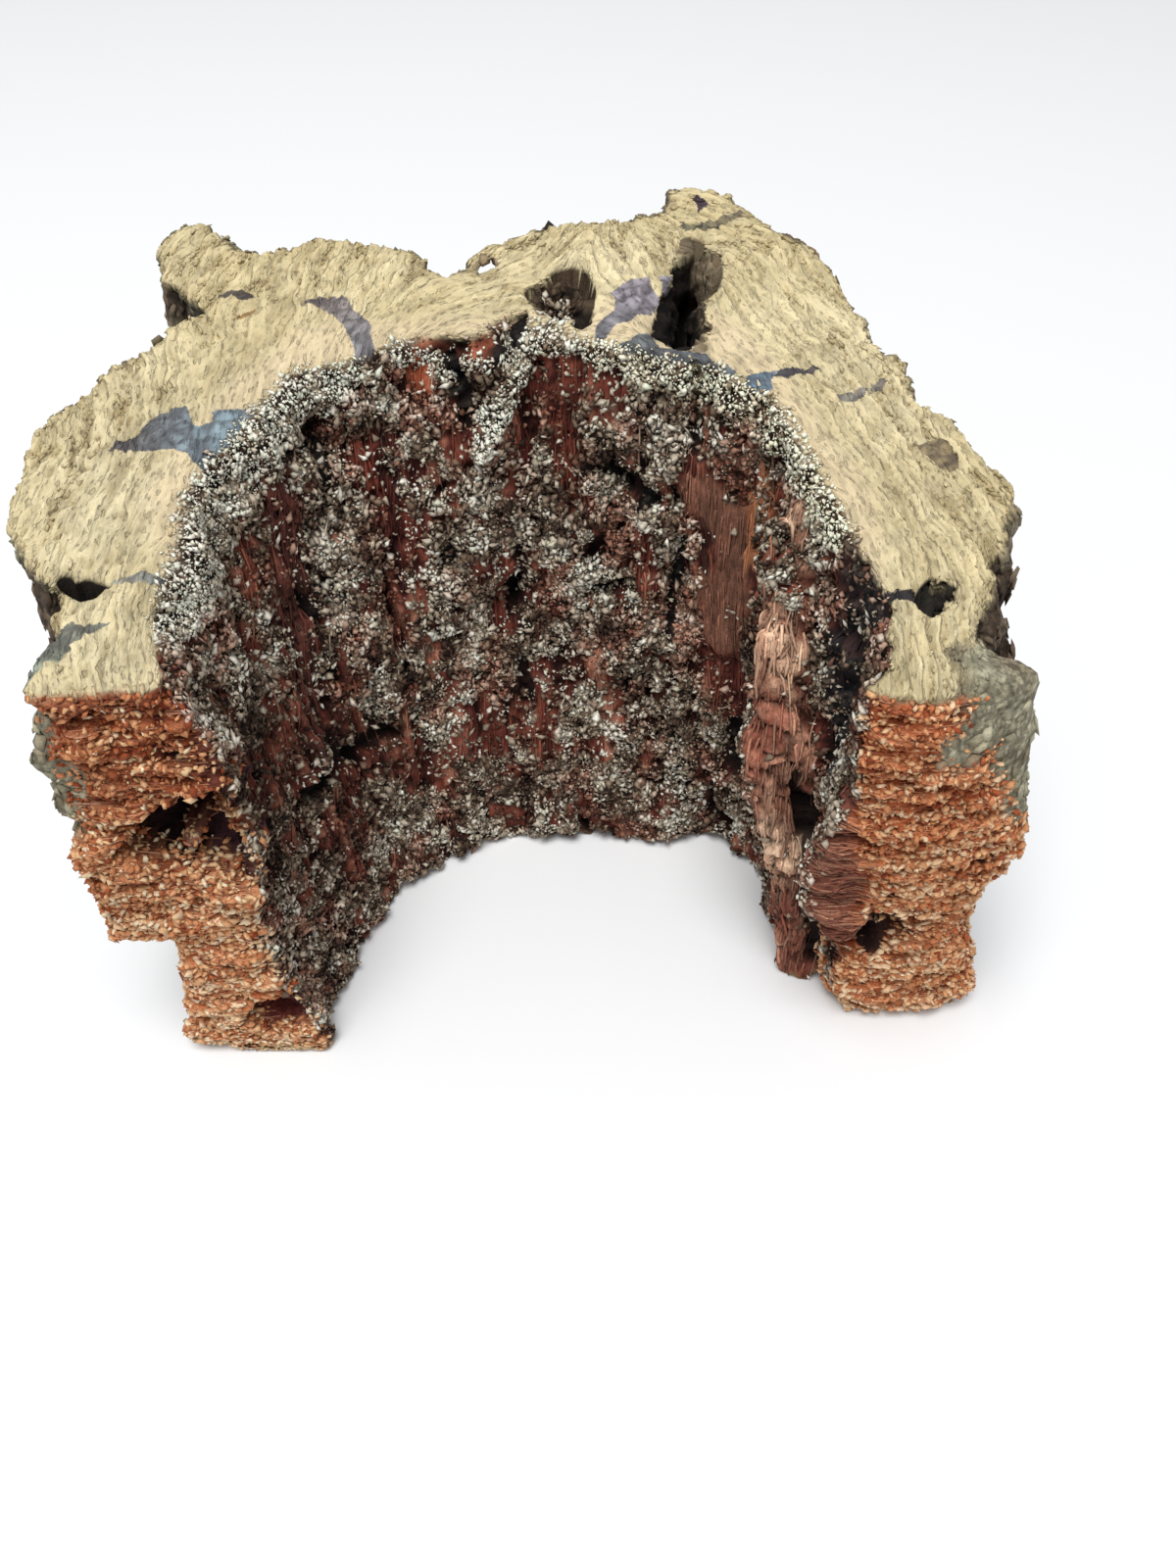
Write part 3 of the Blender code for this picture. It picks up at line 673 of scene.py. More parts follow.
plugTop = [(x, y, topHeight(y) - 0.2) for x, y in plug]
plugFoot = [(x, y, 78) for x, y in plug]
cutters = [cutWith(corkBody, "flank", "DIFFERENCE", flank["from"], flank["to"]),
           cutWith(corkBody, "plug", "UNION", plugTop, plugFoot)]
skin = corkBody.modifiers.new("skin", "REMESH")
skin.mode = "VOXEL"
skin.voxel_size = body["voxel"] * mm
applied(corkBody)
windowRings = [[np.array(spot) + np.array(window["way"]) * step for spot in window["around"]]
               for step in (window["from"], window["to"])]
cutters.append(cutWith(corkBody, "window", "DIFFERENCE", *windowRings))
mesh = applied(corkBody)
for cutter in cutters:
    bpy.data.objects.remove(cutter)
print("body skinned:", len(mesh.polygons), "faces")


def survey(mesh, edges, rounds):
    # the points and normals of the skin, their places round the arch and the four zones
    points, normals = pointsOf(mesh), normalsOf(mesh)
    wide = unit(smoothed(normals, edges, rounds))
    grain = grainPlace(points)
    sides = points[:, [0, 2]] + 0.8 * soft("zoneEdge", points)[:, None]
    above = points[:, 2] - topHeight(points[:, 1])
    facesUp = normals @ topWay > zones["topSlope"]
    onTop = (above > -zones["topDip"]) & facesUp & (edgeGap(points[:, :2], plateTop) < 0)
    onFoot = (points[:, 2] < zones["footHeight"]) & (normals[:, 2] < -0.5)
    onStrip = near(points, strip) > 0.1
    reach = np.where(points[:, 0] < 0, zones["leftDepth"], zones["rightDepth"])
    inFront = (wide[:, 1] < -0.5) & (points[:, 1] < reach) & (np.abs(points[:, 0]) > zones["endFrom"])
    onPlate = edgeGap(sides, plateEdge) > 0
    onBits = np.maximum(edgeGap(sides, leftBits[0]), edgeGap(sides, leftBits[1])) > 0
    onEnd = inFront & ~onTop & ~onFoot & ~onStrip & ~onPlate & ~onBits
    inside = (grain[:, 1] < 0) | onStrip
    onHollow = inside & ~onTop & ~onFoot & ~onEnd & ~onPlate & ~onBits & (above < -0.2)
    return points, normals, grain, (onTop, onFoot, onEnd, onHollow)


edges = edgesOf(mesh)
setPoints(mesh, smoothed(pointsOf(mesh), edges, 2))
points, normals = pointsOf(mesh), normalsOf(mesh)
outside = ease(smoothed((grainPlace(points)[:, 1] > 0) * 1.0, edges, 6), 0.5, 1.0)
outside *= 0.1 + 0.9 * ease(points[:, 2], 25, 65)
points = points + normals * body["regain"] + normals * [1, 1, 0] * (body["outward"] * outside)[:, None]
for x, y, z, reach, out in bulges:
    share = ease(1 - np.linalg.norm(points - [x, y, z], axis=1) / reach, 0, 0.8)
    points = points + share[:, None] * out
setPoints(mesh, points)
points, normals, grain, (onTop, onFoot, onEnd, onHollow) = survey(mesh, edges, 3)

# finer faces in the hollow, on the torn ends and near the holes, and the finest on the sawn top
nearHole = np.zeros(len(points), dtype=bool)
for hole in holes:
    inside = edgeGap(points[:, :2], hole["outline"]) > -3
    nearHole |= inside & (points[:, 2] > topHeight(points[:, 1]) - 12)
fine = onTop | onHollow | onEnd | nearHole


def edgesWithin(sheet, chosen):
    return {edge for face in sheet.faces if all(chosen[vert.index] for vert in face.verts)
            for edge in face.edges}


sheet = bmesh.new()
sheet.from_mesh(mesh)
sheet.verts.ensure_lookup_table()
twice = edgesWithin(sheet, onTop)
once = edgesWithin(sheet, fine) - twice
bmesh.ops.subdivide_edges(sheet, edges=list(once), cuts=1, use_grid_fill=True)
bmesh.ops.subdivide_edges(sheet, edges=list(twice), cuts=2, use_grid_fill=True)
bmesh.ops.triangulate(sheet, faces=[face for face in sheet.faces if len(face.verts) > 4])
sheet.to_mesh(mesh)
sheet.free()
edges = edgesOf(mesh)
setPoints(mesh, smoothed(pointsOf(mesh), edges, 2))
points, normals, grain, (onTop, onFoot, onEnd, onHollow) = survey(mesh, edges, 5)
top, end, hollow, foot = smoothed(columns(onTop, onEnd, onHollow, onFoot), edges, 3).T
bark = np.clip(1.0 - top - end - hollow - foot, 0.0, 1.0)
rim = 4.0 * top * (1.0 - top)
above = points[:, 2] - topHeight(points[:, 1])
sides = points[:, [0, 2]]
flat = points * [1, 1, 0]
count = len(points)
streaks = 0.3 * soft("streaks", grain)

# the strip, the board and the recesses, carved and painted with shade
stripped = np.maximum(near(points, strip, -0.1), near(points, stripFace, 0.2))
stripped = ease(stripped + 0.1 * soft("stripEdge", points), 0.0, 0.25) * hollow
boarded = ease(near(points, board, 0.25 * soft("boardEdge", points) + streaks), 0.0, 0.25) * hollow
calm = np.maximum(stripped, boarded)
shadedCrevice = np.zeros(count)
creviceEdge = 0.3 * soft("creviceEdge", points)
for path in crevices:
    shadedCrevice = np.maximum(shadedCrevice, ease(near(points, path, creviceEdge), -0.2, 0.5))
shadedCrevice *= 1 - np.maximum(top, end)

# where pale crust covers the wood of the hollow
warp = columns(soft("warpX", points), soft("warpY", points), soft("warpZ", points))
pale = np.zeros(count)
for path, full, strength in crests:
    pale = np.maximum(pale, ease(near(points, path), -0.1, full) * strength)
inked = ease(near(points, inky, 0.3 * soft("inkEdge", points)), -0.1, 0.35)
pale *= 1 - inked
bare = np.zeros(count)
bareTone = np.zeros((count, 3)) + shade("bareWood")
bareEdge = 0.5 * soft("bareEdge", points) + 0.3 * soft("bareStreaks", grain)
for patch in bareWood:
    share = ease(near(points, patch["path"], bareEdge), -0.1, 0.3)
    bareTone = mix(bareTone, tone(*patch["tone"]), share)
    bare = np.maximum(bare, share)
crustField = (0.9 * rough("crustPatches", points) + 0.5 * soft("crustStreaks", grain)
              + 0.5 * soft("crustSpots", points) + 1.4 * pale + 0.2)
shadeSide = ease(near(points, shadePath), -0.1, 0.5)
openings = ease(rough("openings", points), 0.42, 0.6) * (1 - 0.5 * pale)
crust = ease(crustField - 2.0 * bare - 2.4 * calm - 0.55 * shadeSide, -0.15, 0.15) * (1 - openings) * hollow

# relief of the hollow
ribs = rough("ribs", grain + warp * [1.5, 0, 0])
lumps = rough("lumps", points)
bead, _, beadTone = cells("beads", points + warp * 0.6)
gaps = ease(rough("gaps", grain), 0.4, 0.75) * (1 - 0.6 * pale)
woodRibs = (soft("woodRibs", grain + warp * [0.8, 0, 0])
            + 0.8 * soft("woodFibres", grain + warp * [0.5, 0, 0]))
breaks, breaksNext, breaksTone = cells("breaks", grain + warp * 0.8)
blocks = 1.0 - ease(breaksNext - breaks, 0.0, 0.22)
beads = 1.0 - 1.8 * bead + 0.5 * (beadTone - 0.5)
hollowPush = (body["hollowRibs"] * ribs + body["hollowLumps"] * lumps * (1 - 0.7 * calm)
              + crust * (body["crustStep"] + body["crustBeads"] * beads)
              + (1 - crust) * body["woodRibs"] * woodRibs
              - body["stripBreaks"] * blocks * stripped * (0.4 + 0.6 * (breaksTone > 0.4))
              - body["hollowGaps"] * gaps * (1 - calm) - body["openings"] * openings * (1 - calm)
              + body["boardRise"] * boarded + body["lipRise"] * ease(near(points, lip), 0, 0.4)
              + body["streakRise"] * ease(near(points, whiteRib), -0.1, 0.4))

# relief of the outer bark
plate, plateNext, plateTone = cells("barkPlates", grain + warp * [3.5, 0, 4.5])
chunk, chunkNext, _ = cells("barkChunks", grain + warp * 2.0)
plated = ease(edgeGap(sides, plateEdge), -1, 2) * (points[:, 1] < 8)
cracks = (1.0 - ease(plateNext - plate, 0.02, 0.34)) * (1 - 0.9 * plated)
smallCracks = (1.0 - ease(chunkNext - chunk, 0.0, 0.3)) * (1 - 0.7 * plated)
face = rough("barkFace", points)
barkPush = (-body["barkCracks"] * cracks - body["barkSmallCracks"] * smallCracks
            + body["barkFace"] * face * (1 - 0.5 * plated)
            + body["barkPlates"] * (plateTone - 0.3) * (1 - plated) + body["barkRise"])

# relief of the torn ends, in level layers
level = points[:, 2] + 1.3 * soft("levelSway", points) + 0.5 * soft("levelShake", points)
levelPlace = columns(points[:, 0], points[:, 1], level)
layers = ease(rough("layers", levelPlace, layers=2), -0.25, 0.35)
layers = layers + 0.6 * ease(soft("thinLayers", levelPlace), -0.1, 0.2)
row = cells("rows", points + warp * [1, 0, 0.4])[0]
laminated = ease(near(points, laminate) + 0.25 * soft("laminateEdge", points), -0.1, 0.3)
seams = laminated * ease(soft("seams", levelPlace), 0.0, 0.45)
endPush = (body["endLayers"] * (layers - 0.7) + body["endBeads"] * (0.6 - row) * (1.4 - laminated)
           - body["endSeams"] * seams)

# relief of the sawn top, along the torn ridges
isTop = top > 0.02


def overTop(make):
    values = np.zeros(count)
    values[isTop] = make(ringPlace[isTop])
    return values


topSpots = np.array(topWays, dtype=float)
gap = ((flat[isTop][:, None, :2] - topSpots[None, :, :2]) ** 2).sum(axis=2)
weight = 1.0 / (gap + 12.0) ** 2
turn = np.radians(topSpots[:, 2] * 2.0)
angle = 0.5 * np.arctan2((weight * np.sin(turn)).sum(axis=1), (weight * np.cos(turn)).sum(axis=1))
flow = np.zeros((count, 3))
flow[isTop] = columns(np.cos(angle), np.sin(angle), np.zeros(len(angle)))
outwards = flat - [-8, 40, 0]
sideWay = columns(-flow[:, 1], flow[:, 0], flow[:, 2])
sideWay *= np.sign((sideWay * outwards).sum(axis=1) + 1e-9)[:, None]
ring = climb(flat, sideWay, edges[isTop[edges].all(axis=1)])
shake = columns(soft("ringShakeX", flat), soft("ringShakeY", flat), flat[:, 2])
ringPlace = columns(ring, flat[:, 0], flat[:, 1]) + 0.5 * shake
plates = overTop(lambda places: soft("topPlates", places) + 0.4 * soft("thinPlates", places))
bend = overTop(lambda places: 0.5 * soft("ringBend", places) + 0.22 * soft("ringBendFine", places))
shingleCount = ringPlace[:, 0] / body["shingleWidth"] + bend
shingle = shingleCount - np.floor(shingleCount)
torn = overTop(lambda places: ease(soft("torn", places), -0.45, 0.1))
fineRibs = overTop(lambda places: soft("fineRibs", places))
shortPits = overTop(lambda places: soft("topPits", places))
across = grain[:, 1]
crumbly = ease(across + 2.5 * soft("crumbleEdge", flat), -1, 6)
smoothBand = ease(-across, 3.5, 8.0)
plateStep = ease(plates, -0.2, 0.25)
plateLine = ease(1.0 - np.abs(plates + 0.16) / 0.16, 0.0, 0.8)
pits = ease(-shortPits, 0.45, 0.8) * (0.45 + 0.55 * crumbly)
ridges = (body["topPlates"] * (0.4 + 0.3 * crumbly) * (plateStep - 0.6)
          + body["topShingles"] * torn * (shingle - 0.5) + body["topRibs"] * fineRibs)
topPush = (ridges * (1 - 0.75 * smoothBand) - body["topPits"] * pits * (1 - 0.7 * smoothBand)
           + body["topWaves"] * rough("topWaves", points))

nibble = ease(soft("nibbles", points), -0.2, 0.7) + 0.7 * ease(soft("bites", points), 0.0, 0.8)
push = hollow * hollowPush + bark * barkPush + end * endPush + top * topPush
push -= body["crevices"] * shadedCrevice
push -= body["rimNibbles"] * rim * (nibble - 0.5) * (bark > 0.02)
push *= 1.0 - ease(-points[:, 2], -2.0, 0.0) * 0.9
moved = points + normals * push[:, None]
ragged = ease(soft("footRag", points) + 0.5 * soft("footRagWide", points), -0.1, 0.9)
moved[:, 2] += body["footRag"] * (ragged * ease(-points[:, 2], -5, 0)) * ease(np.abs(across), 4, 9)

# holes of the sawn top
sunk = np.zeros(count)
holeEdge = 0.25 * soft("holeEdge", points)
fromTop = ease(top, 0.3, 0.6)
for hole in holes:
    inward = edgeGap(flat[:, :2], hole["outline"])
    inHole = ease(inward + holeEdge, -0.1, 0.35) * fromTop
    deeper = ease(inward, 0.4, 0.9) * fromTop
    sunk = np.maximum(sunk, inHole * body["holeLip"] + deeper * (hole["sink"] - body["holeLip"]))
moved[:, 2] -= sunk
for hole in holes:
    # the rim of each hole is drawn onto its outline, with the next points just inside and lower
    spot = moved[:, :2]
    inward = edgeGap(spot, hole["outline"])
    slope = columns(*[edgeGap(spot + way, hole["outline"]) - inward for way in ([0.05, 0], [0, 0.05])])
    slope /= np.linalg.norm(slope, axis=1, keepdims=True) + 1e-9
    level = topHeight(moved[:, 1])
    shallow = (above > -3.2) & (inward > -1.6)
    onRim = shallow & (np.abs(inward) < rimLine["catch"]) & (top > 0.06)
    outer = shallow & (inward < 0) & (top > 0.1)
    inner = shallow & (inward >= rimLine["catch"]) & (inward < rimLine["nextCatch"])
    moved[onRim, :2] -= (slope * inward[:, None])[onRim]
    moved[inner, :2] += (slope * (rimLine["next"] - inward)[:, None])[inner]
    moved[outer, 2] = np.maximum(moved[outer, 2], level[outer] - rimLine["dip"])
    moved[onRim, 2] = level[onRim] - rimLine["dip"]
    lowered = np.minimum(moved[inner, 2], level[inner] - rimLine["nextFall"])
    moved[inner, 2] = np.where(above[inner] > -1.2, level[inner] - rimLine["nextDip"], lowered)
    for zoneShare, full in ((top, 1.0), (hollow, 0.0), (bark, 0.0), (end, 0.0)):
        zoneShare[onRim | outer] = full

# openings of the torn ends
cuts = []
cavityEdge = soft("cavityEdge", points)
for cavity in cavities:
    inCavity = ease(edgeGap(sides, cavity["outline"]) + 0.4 * cavityEdge, -0.2, 0.9) * ease(end, 0.3, 0.8)
    if "shelf" in cavity:
        inCavity *= 1 - 0.8 * ease(edgeGap(sides, cavity["shelf"]) + 0.3 * cavityEdge, -0.2, 0.6)
    cut = inCavity * (points[:, 1] < cavity["face"] + 6.5)
    moved[:, 1] += cut * cavity["sink"]
    cuts.append(cut)
setPoints(mesh, moved)
dropped = topHeight(moved[:, 1]) - moved[:, 2]
print("body carved:", len(mesh.polygons), "faces")

# colours of the hollow
fleck = soft("fleck", points)
grit = soft("grit", points)
broad = rough("broad", points)
mood = rough("mood", points)
wood = shades("wood", woodRibs * 0.9 + grit * 0.6 + 0.4 * fleck, -1.3, 1.5)
bareLight = 0.45 + 1.1 * ease(woodRibs + 0.5 * grit, -1.2, 1.2)[:, None]
wood = mix(wood, bareTone * bareLight, 0.55 * ease(bare, 0, 0.6))
crustTone = shades("crust", fleck * 0.6 + grit * 0.5 + mood * 0.7 + (beadTone - 0.5), -1.3, 1.5)
redness = ease(rough("redness", points), -0.1, 0.7)
crustTone = mix(crustTone, crustTone * [1.25, 0.8, 0.72], redness * 0.8 * (1 - pale))
hollowTone = mix(wood, crustTone, crust)
# gaps, the borders between crust beads and the openings are painted near-black as shade
hollowTone = mix(hollowTone, shade("hollowGapShade"), np.maximum.reduce(
    [gaps * 0.9, 0.7 * ease(bead, 0.5, 0.85) * crust, openings * 0.6 * (1 - calm)]))
hollowTone = hollowTone * (1 - 0.3 * shadeSide * (1 - stripped))[:, None]
stripTone = mix(shades("stripPale", woodRibs * 0.6 + grit * 0.7 + fleck * 0.4, -1.2, 1.2),
                shades("stripRed", woodRibs * 0.6 + grit * 0.7, -1.2, 1.2),
                ease(soft("stripTones", points) + 0.3 * ease(-points[:, 2], -50, -30), -0.1, 0.5))
stripTone = stripTone * [1.2, 1.14, 1.1] * (0.8 + 0.4 * breaksTone)[:, None]
stripTone = mix(stripTone, shade("stripBreak"), blocks * 0.6)
hollowTone = mix(hollowTone, stripTone, stripped)
hollowTone = mix(hollowTone, shade("ink"), inked * 0.85)

# colours of the outer bark
mossy = ease(rough("moss", points), 0.0, 0.7)
barkTone = mix(shades("barkBrown", face + fleck * 0.4, -1.0, 1.0),
               shades("barkMoss", face + fleck * 0.4, -1.0, 1.0), mossy)
barkTone = covered(barkTone, ("barkRed", ease(plateTone, 0.72, 0.8) * 0.6),
                   ("barkCrack", np.clip(cracks * 0.9 + smallCracks * 0.35, 0, 1)))
greyTone = shades("barkGrey", grit * 0.7 + fleck * 0.5 + face * 0.3, -1.2, 1.2)
greyTone = mix(greyTone, shade("greyPatch"), ease(rough("greyPatches", points), 0.25, 0.8) * 0.7)
barkTone = mix(barkTone, greyTone, plated)
onBits = ease(np.maximum(edgeGap(sides, leftBits[0]), edgeGap(sides, leftBits[1])), -1, 0.5)
barkTone = mix(barkTone, greyTone * 0.9, onBits * (points[:, 1] < 6))

# colours of the torn ends
lowToHigh = ease(points[:, 2], 25, 92)
leftEnd = (points[:, 0] < 0) * 1.0
endLight = grit * 0.6 + layers - 0.7
endHigh = mix(shades("endHighRight", endLight, -1.3, 1.3), shades("endHighLeft", endLight, -1.3, 1.3), leftEnd)
endTone = mix(shades("endLow", endLight, -1.3, 1.3), endHigh, lowToHigh)
endTone = mix(endTone, shade("endUnderTop"), (1 - ease(-above, 3, 9)) * 0.55 * leftEnd)
redEnd = np.maximum(1 - leftEnd, 0.6 * ease(-points[:, 2], -55, -30))[:, None]
endTone = endTone * (1 + (np.array([0.97, 0.82, 0.76]) - 1) * redEnd) * 1.06
# the hollows between crumb rows are painted dark as shade
endTone = mix(endTone, shade("endPitShade"), ease(row, 0.5, 0.9) * 0.75)

# colours of the sawn top and the foot
topTone = shades("top", broad * 0.5 + fleck * 0.2 + grit * 0.2, -0.9, 0.9)
topLight = 1 + 0.1 * (plateStep - 0.5) + 0.07 * fineRibs + 0.08 * ease(points[:, 1], 52, 85)
topTone = topTone * topLight[:, None]
# plate edges and pits of the sawn top are painted darker as shade
pitShadeShare = np.clip(plateLine * (0.4 + 0.3 * crumbly) + 0.7 * pits, 0, 0.85) * (1 - 0.6 * smoothBand)
dirty = ease(rim, 0.25, 0.8) * (bark > hollow) * ease(soft("rimShade", points) + 0.4 * fleck, 0.0, 0.4)
topTone = covered(topTone, ("topPitShade", pitShadeShare), ("topOuter", ease(across, 7, 13) * 0.4),
                  ("topInner", ease(-across, 5, 10) * 0.6), ("topRim", dirty * 0.8))
footTone = shades("foot", broad, -1, 1)

# the zones together, then the patches, holes and openings over them
sharp = columns(hollow, bark, end, top * 1.25, foot) ** 4 + 1e-9
sharp /= sharp.sum(axis=1, keepdims=True)
paint = sum(zoneTone * sharp[:, k:k + 1] for k, zoneTone in
            enumerate((hollowTone, barkTone, endTone, topTone, footTone)))
patchEdge = 0.35 * soft("patchEdge", points) + streaks
patchLight = (1 + 0.3 * woodRibs[:, None] + 0.25 * grit[:, None]).clip(0.3, 2)
for patch in patches:
    share = ease(near(points, patch["path"], patchEdge), 0.0, 0.45)
    paint = mix(paint, tone(*patch["tone"]) * patchLight, share * (1 - top) * 0.9)
# the seams are dark wood; the crevices are painted near-black as shade
paint = covered(paint, ("seam", 0.6 * seams * (1 - top)), ("shadedCrevice", ease(shadedCrevice, 0.15, 0.7) * 0.94))
creamShare = ease(near(points, creamPatch["path"], 0.3 * fleck), 0.4, 0.7) * (1 - hollow)
paint = mix(paint, tone(*creamPatch["tone"]) * (1 + 0.4 * grit[:, None]), creamShare)
recessShadeShare = np.zeros(count)
# holes are painted with shade, from the shaded wall tone below the rim to the dark depth tone further down
for hole in holes:
    inward = edgeGap(moved[:, :2], hole["outline"])
    share = np.maximum(ease(inward, 0.05, 0.15), ease(inward, -1.6, -0.9) * ease(dropped, 1.2, 2.0))
    share = share * (dropped < hole["depth"] + 6)
    share *= 1 - ease(hollow, 0.6, 0.9) * (dropped > 3) * (hole["depth"] < 20)
    recessShadeTone = mix(tone(*hole["wall"]), tone(*hole["deepShade"]), ease(dropped, 1.5, hole["depth"]))
    paint = mix(paint, roughened(recessShadeTone, 0.45, 0.35), share)
    recessShadeShare = np.maximum(recessShadeShare, share)
# openings are painted with shade, dark on the left and lighter on the lit right
for cavity, cut in zip(cavities, cuts):
    share = ease(edgeGap(sides, cavity["outline"]), -1.4, -0.6) * ease(moved[:, 1] - cavity["face"], 0.8, 1.8)
    share = np.maximum(share, ease(cut, 0.3, 0.6))
    share *= (moved[:, 1] < cavity["face"] + 16) * (np.abs(points[:, 0]) > 38)
    share *= 1 - 0.9 * ease(hollow, 0.3, 0.6)
    if "shelf" in cavity:
        share *= 1 - ease(edgeGap(sides, cavity["shelf"]), -0.2, 0.4)
    left, right = cavity["outline"][0][0], max(spot[0] for spot in cavity["outline"])
    along = ease((points[:, 0] - left) / (right - left), 0.35, 0.95)
    recessShadeTone = mix(tone(*cavity["left"]), tone(*cavity["right"]), along)
    paint = mix(paint, roughened(recessShadeTone, 0.4, 0.4), share)
    recessShadeShare = np.maximum(recessShadeShare, share)

# stains of the sawn top, kept apart so that the material can sharpen their edges
stain = np.full(count, -1.0)
stainTone = np.ones((count, 3)) * 0.2
flake, flakeNext, flakeTone = cells("stainCells", flat + warp * 0.5)
stainPlace = flat[:, :2] + 0.5 * columns(soft("stainEdgeX", flat), soft("stainEdgeY", flat))
for mark in stains:
    here = edgeGap(stainPlace, mark["outline"])
    way = np.array(mark.get("way", (1, 0)), dtype=float)
    reach = np.array(mark["outline"]) @ way
    along = ease((flat[:, :2] @ way - reach.min()) / (reach.max() - reach.min()), 0, 1)
    blended = mix(tone(*mark["from"]), tone(*mark["to"]), along)
    stainTone = np.where((here > stain)[:, None], blended, stainTone)
    stain = np.maximum(stain, here)
stainTone = stainTone * (0.86 + 0.36 * flakeTone[:, None] + 0.15 * grit[:, None])
stainTone = mix(stainTone, shade("stainCrack"), (1 - ease(flakeNext - flake, 0.04, 0.3)) * 0.6)
stain = np.where(top > 0.3, np.clip(stain, -1, 1), -1.0)
for name, values in (("paint", paint.clip(0, 1)), ("stain", stain), ("stainTone", stainTone.clip(0, 1)),
                     ("zone", columns(top, end, hollow)), ("grain", grain), ("ring", ringPlace),
                     ("crust", np.maximum(crust, 0.5 * bark)), ("shingle", shingleCount),
                     ("torn", torn * (1 - 0.8 * smoothBand))):
    store(mesh, name, values)

# material of the body: the painted tones with fine grain, painted shade in the shingle lines and pits of the
# sawn top, and bump
cork = Finish("corkBodyFinish", 0.88)
plain = (1.0, 1.0, 1.0, 1.0)
zone = cork.node("SeparateXYZ", {"Vector": cork.attribute("zone", "Vector")}).outputs
place = cork.stretched(cork.node("TexCoord").outputs["Object"], (1000, 1000, 1000))
ringVector = cork.attribute("ring", "Vector")
dust = cork.noise(place, 2.2, 3, 0.65)
sawn = cork.noise(cork.stretched(ringVector, (1.0, 0.22, 0.22)), 1.0, 3, 0.6, 0.2)
pitted = cork.noise(cork.stretched(ringVector, (1.4, 0.6, 0.6)), 1.0, 2, 0.5)
sway = cork.node("TexNoise", {"Vector": place, "Scale": 0.8}).outputs["Color"]
cellSpot = cork.node("VectorMath", {0: sway, 1: (1.3, 1.3, 1.3), 2: place}, operation="MULTIPLY_ADD")
crumbs = cork.node("TexVoronoi", {"Vector": cellSpot.outputs["Vector"], "Scale": 0.85}).outputs["Distance"]
rows = cork.noise(cork.stretched(place, (0.5, 1.0, 1.9)), 1.0, 3, 0.65)
fibres = cork.noise(cork.stretched(cork.attribute("grain", "Vector"), (2.2, 1.0, 0.3)), 1.0, 3, 0.6)
detail = cork.mixed(zone[1], cork.mixed(zone[0], fibres, sawn), rows)
light = cork.times(cork.ramped(detail, 0.3, 0.7, 0.66, 1.2), cork.ramped(dust, 0.3, 0.7, 0.86, 1.12))
crumbLight = cork.mixed(cork.attribute("crust"), plain, cork.ramped(crumbs, 0.22, 0.72, 1.5, 0.22))
light = cork.times(light, crumbLight)
topLight = cork.times(cork.ramped(sawn, 0.35, 0.6, 0.8, 1.07), cork.ramped(dust, 0.3, 0.7, 0.95, 1.04))
# the pits of the sawn top are painted darker as shade
topLight = cork.times(topLight, cork.ramped(pitted, 0.26, 0.44, 0.82, 1.0))
saw = cork.math("FRACT", cork.math("MULTIPLY_ADD", sawn, 0.25, cork.attribute("shingle")))
tornShare = cork.attribute("torn")
# each shingle is painted with a shadow at its drop and lighter towards its crest
shingleShade = cork.times(cork.ramped(saw, 0.0, 0.22, 0.55, 1.0), cork.ramped(saw, 0.2, 1.0, 0.96, 1.12))
topLight = cork.times(topLight, cork.mixed(tornShare, plain, shingleShade))
light = cork.mixed(zone[0], light, topLight)
edge = cork.math("MULTIPLY_ADD", cork.math("SUBTRACT", dust, 0.5), 1.2, cork.attribute("stain"))
stained = cork.mixed(cork.ramped(edge, -0.1, 0.15), cork.attribute("paint", "Color"),
                     cork.attribute("stainTone", "Color"))
cork.join(cork.scaled(stained, light), "Base Color")
height = cork.math("ADD", detail, cork.times(dust, 0.4))
for part in (cork.ramped(pitted, 0.28, 0.46, 0.0, 0.7), cork.times(saw, tornShare)):
    height = cork.math("ADD", height, cork.times(part, zone[0]))
bump = cork.node("Bump", {"Height": height, "Strength": 0.9, "Distance": 0.0006})
cork.join(bump.outputs["Normal"], "Normal")
finishPiece(corkBody, cork.material)
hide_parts("cork_bark")
print("body painted")

# Loose grains, strands, crumbs, shreds and flakes that stand on the skin
mesh.calc_loop_triangles()
corners = np.zeros(len(mesh.loop_triangles) * 3, dtype=np.int32)
mesh.loop_triangles.foreach_get("vertices", corners)
corners = corners.reshape(-1, 3)
print("body triangles:", len(corners))
points, normals = pointsOf(mesh), normalsOf(mesh)
corner = points[corners]
areas = np.linalg.norm(np.cross(corner[:, 1] - corner[:, 0], corner[:, 2] - corner[:, 0]), axis=1) / 2
zero, one = np.zeros(len(points)), np.ones(len(points))
upGrain = columns(zero, 0.3 * one, one)
sideways = columns(one, zero, zero)
skinTree = BVHTree.FromPolygons(points.tolist(), corners.tolist())

# a grain is a double pyramid on four corners and a chip one on five, as points and faces
fourSided = (np.array([(1, 0, 0), (0, 1, 0), (-1, 0, 0), (0, -1, 0), (0, 0, 1), (0, 0, -1)], dtype=float),
             [(0, 1, 4), (1, 2, 4), (2, 3, 4), (3, 0, 4), (1, 0, 5), (2, 1, 5), (3, 2, 5), (0, 3, 5)])
fiveCorners = [(math.cos(k * 1.2566), math.sin(k * 1.2566), 0) for k in range(5)]
fiveSided = (np.array([(0, 0, 1)] + fiveCorners + [(0, 0, -1)]),
             [(0, 1 + k, 1 + (k + 1) % 5) for k in range(5)] + [(6, 1 + (k + 1) % 5, 1 + k) for k in range(5)])
# where along a strand its tip, three rings and other tip lie
strandStops = (-0.5, -0.28, 0.02, 0.3, 0.5)


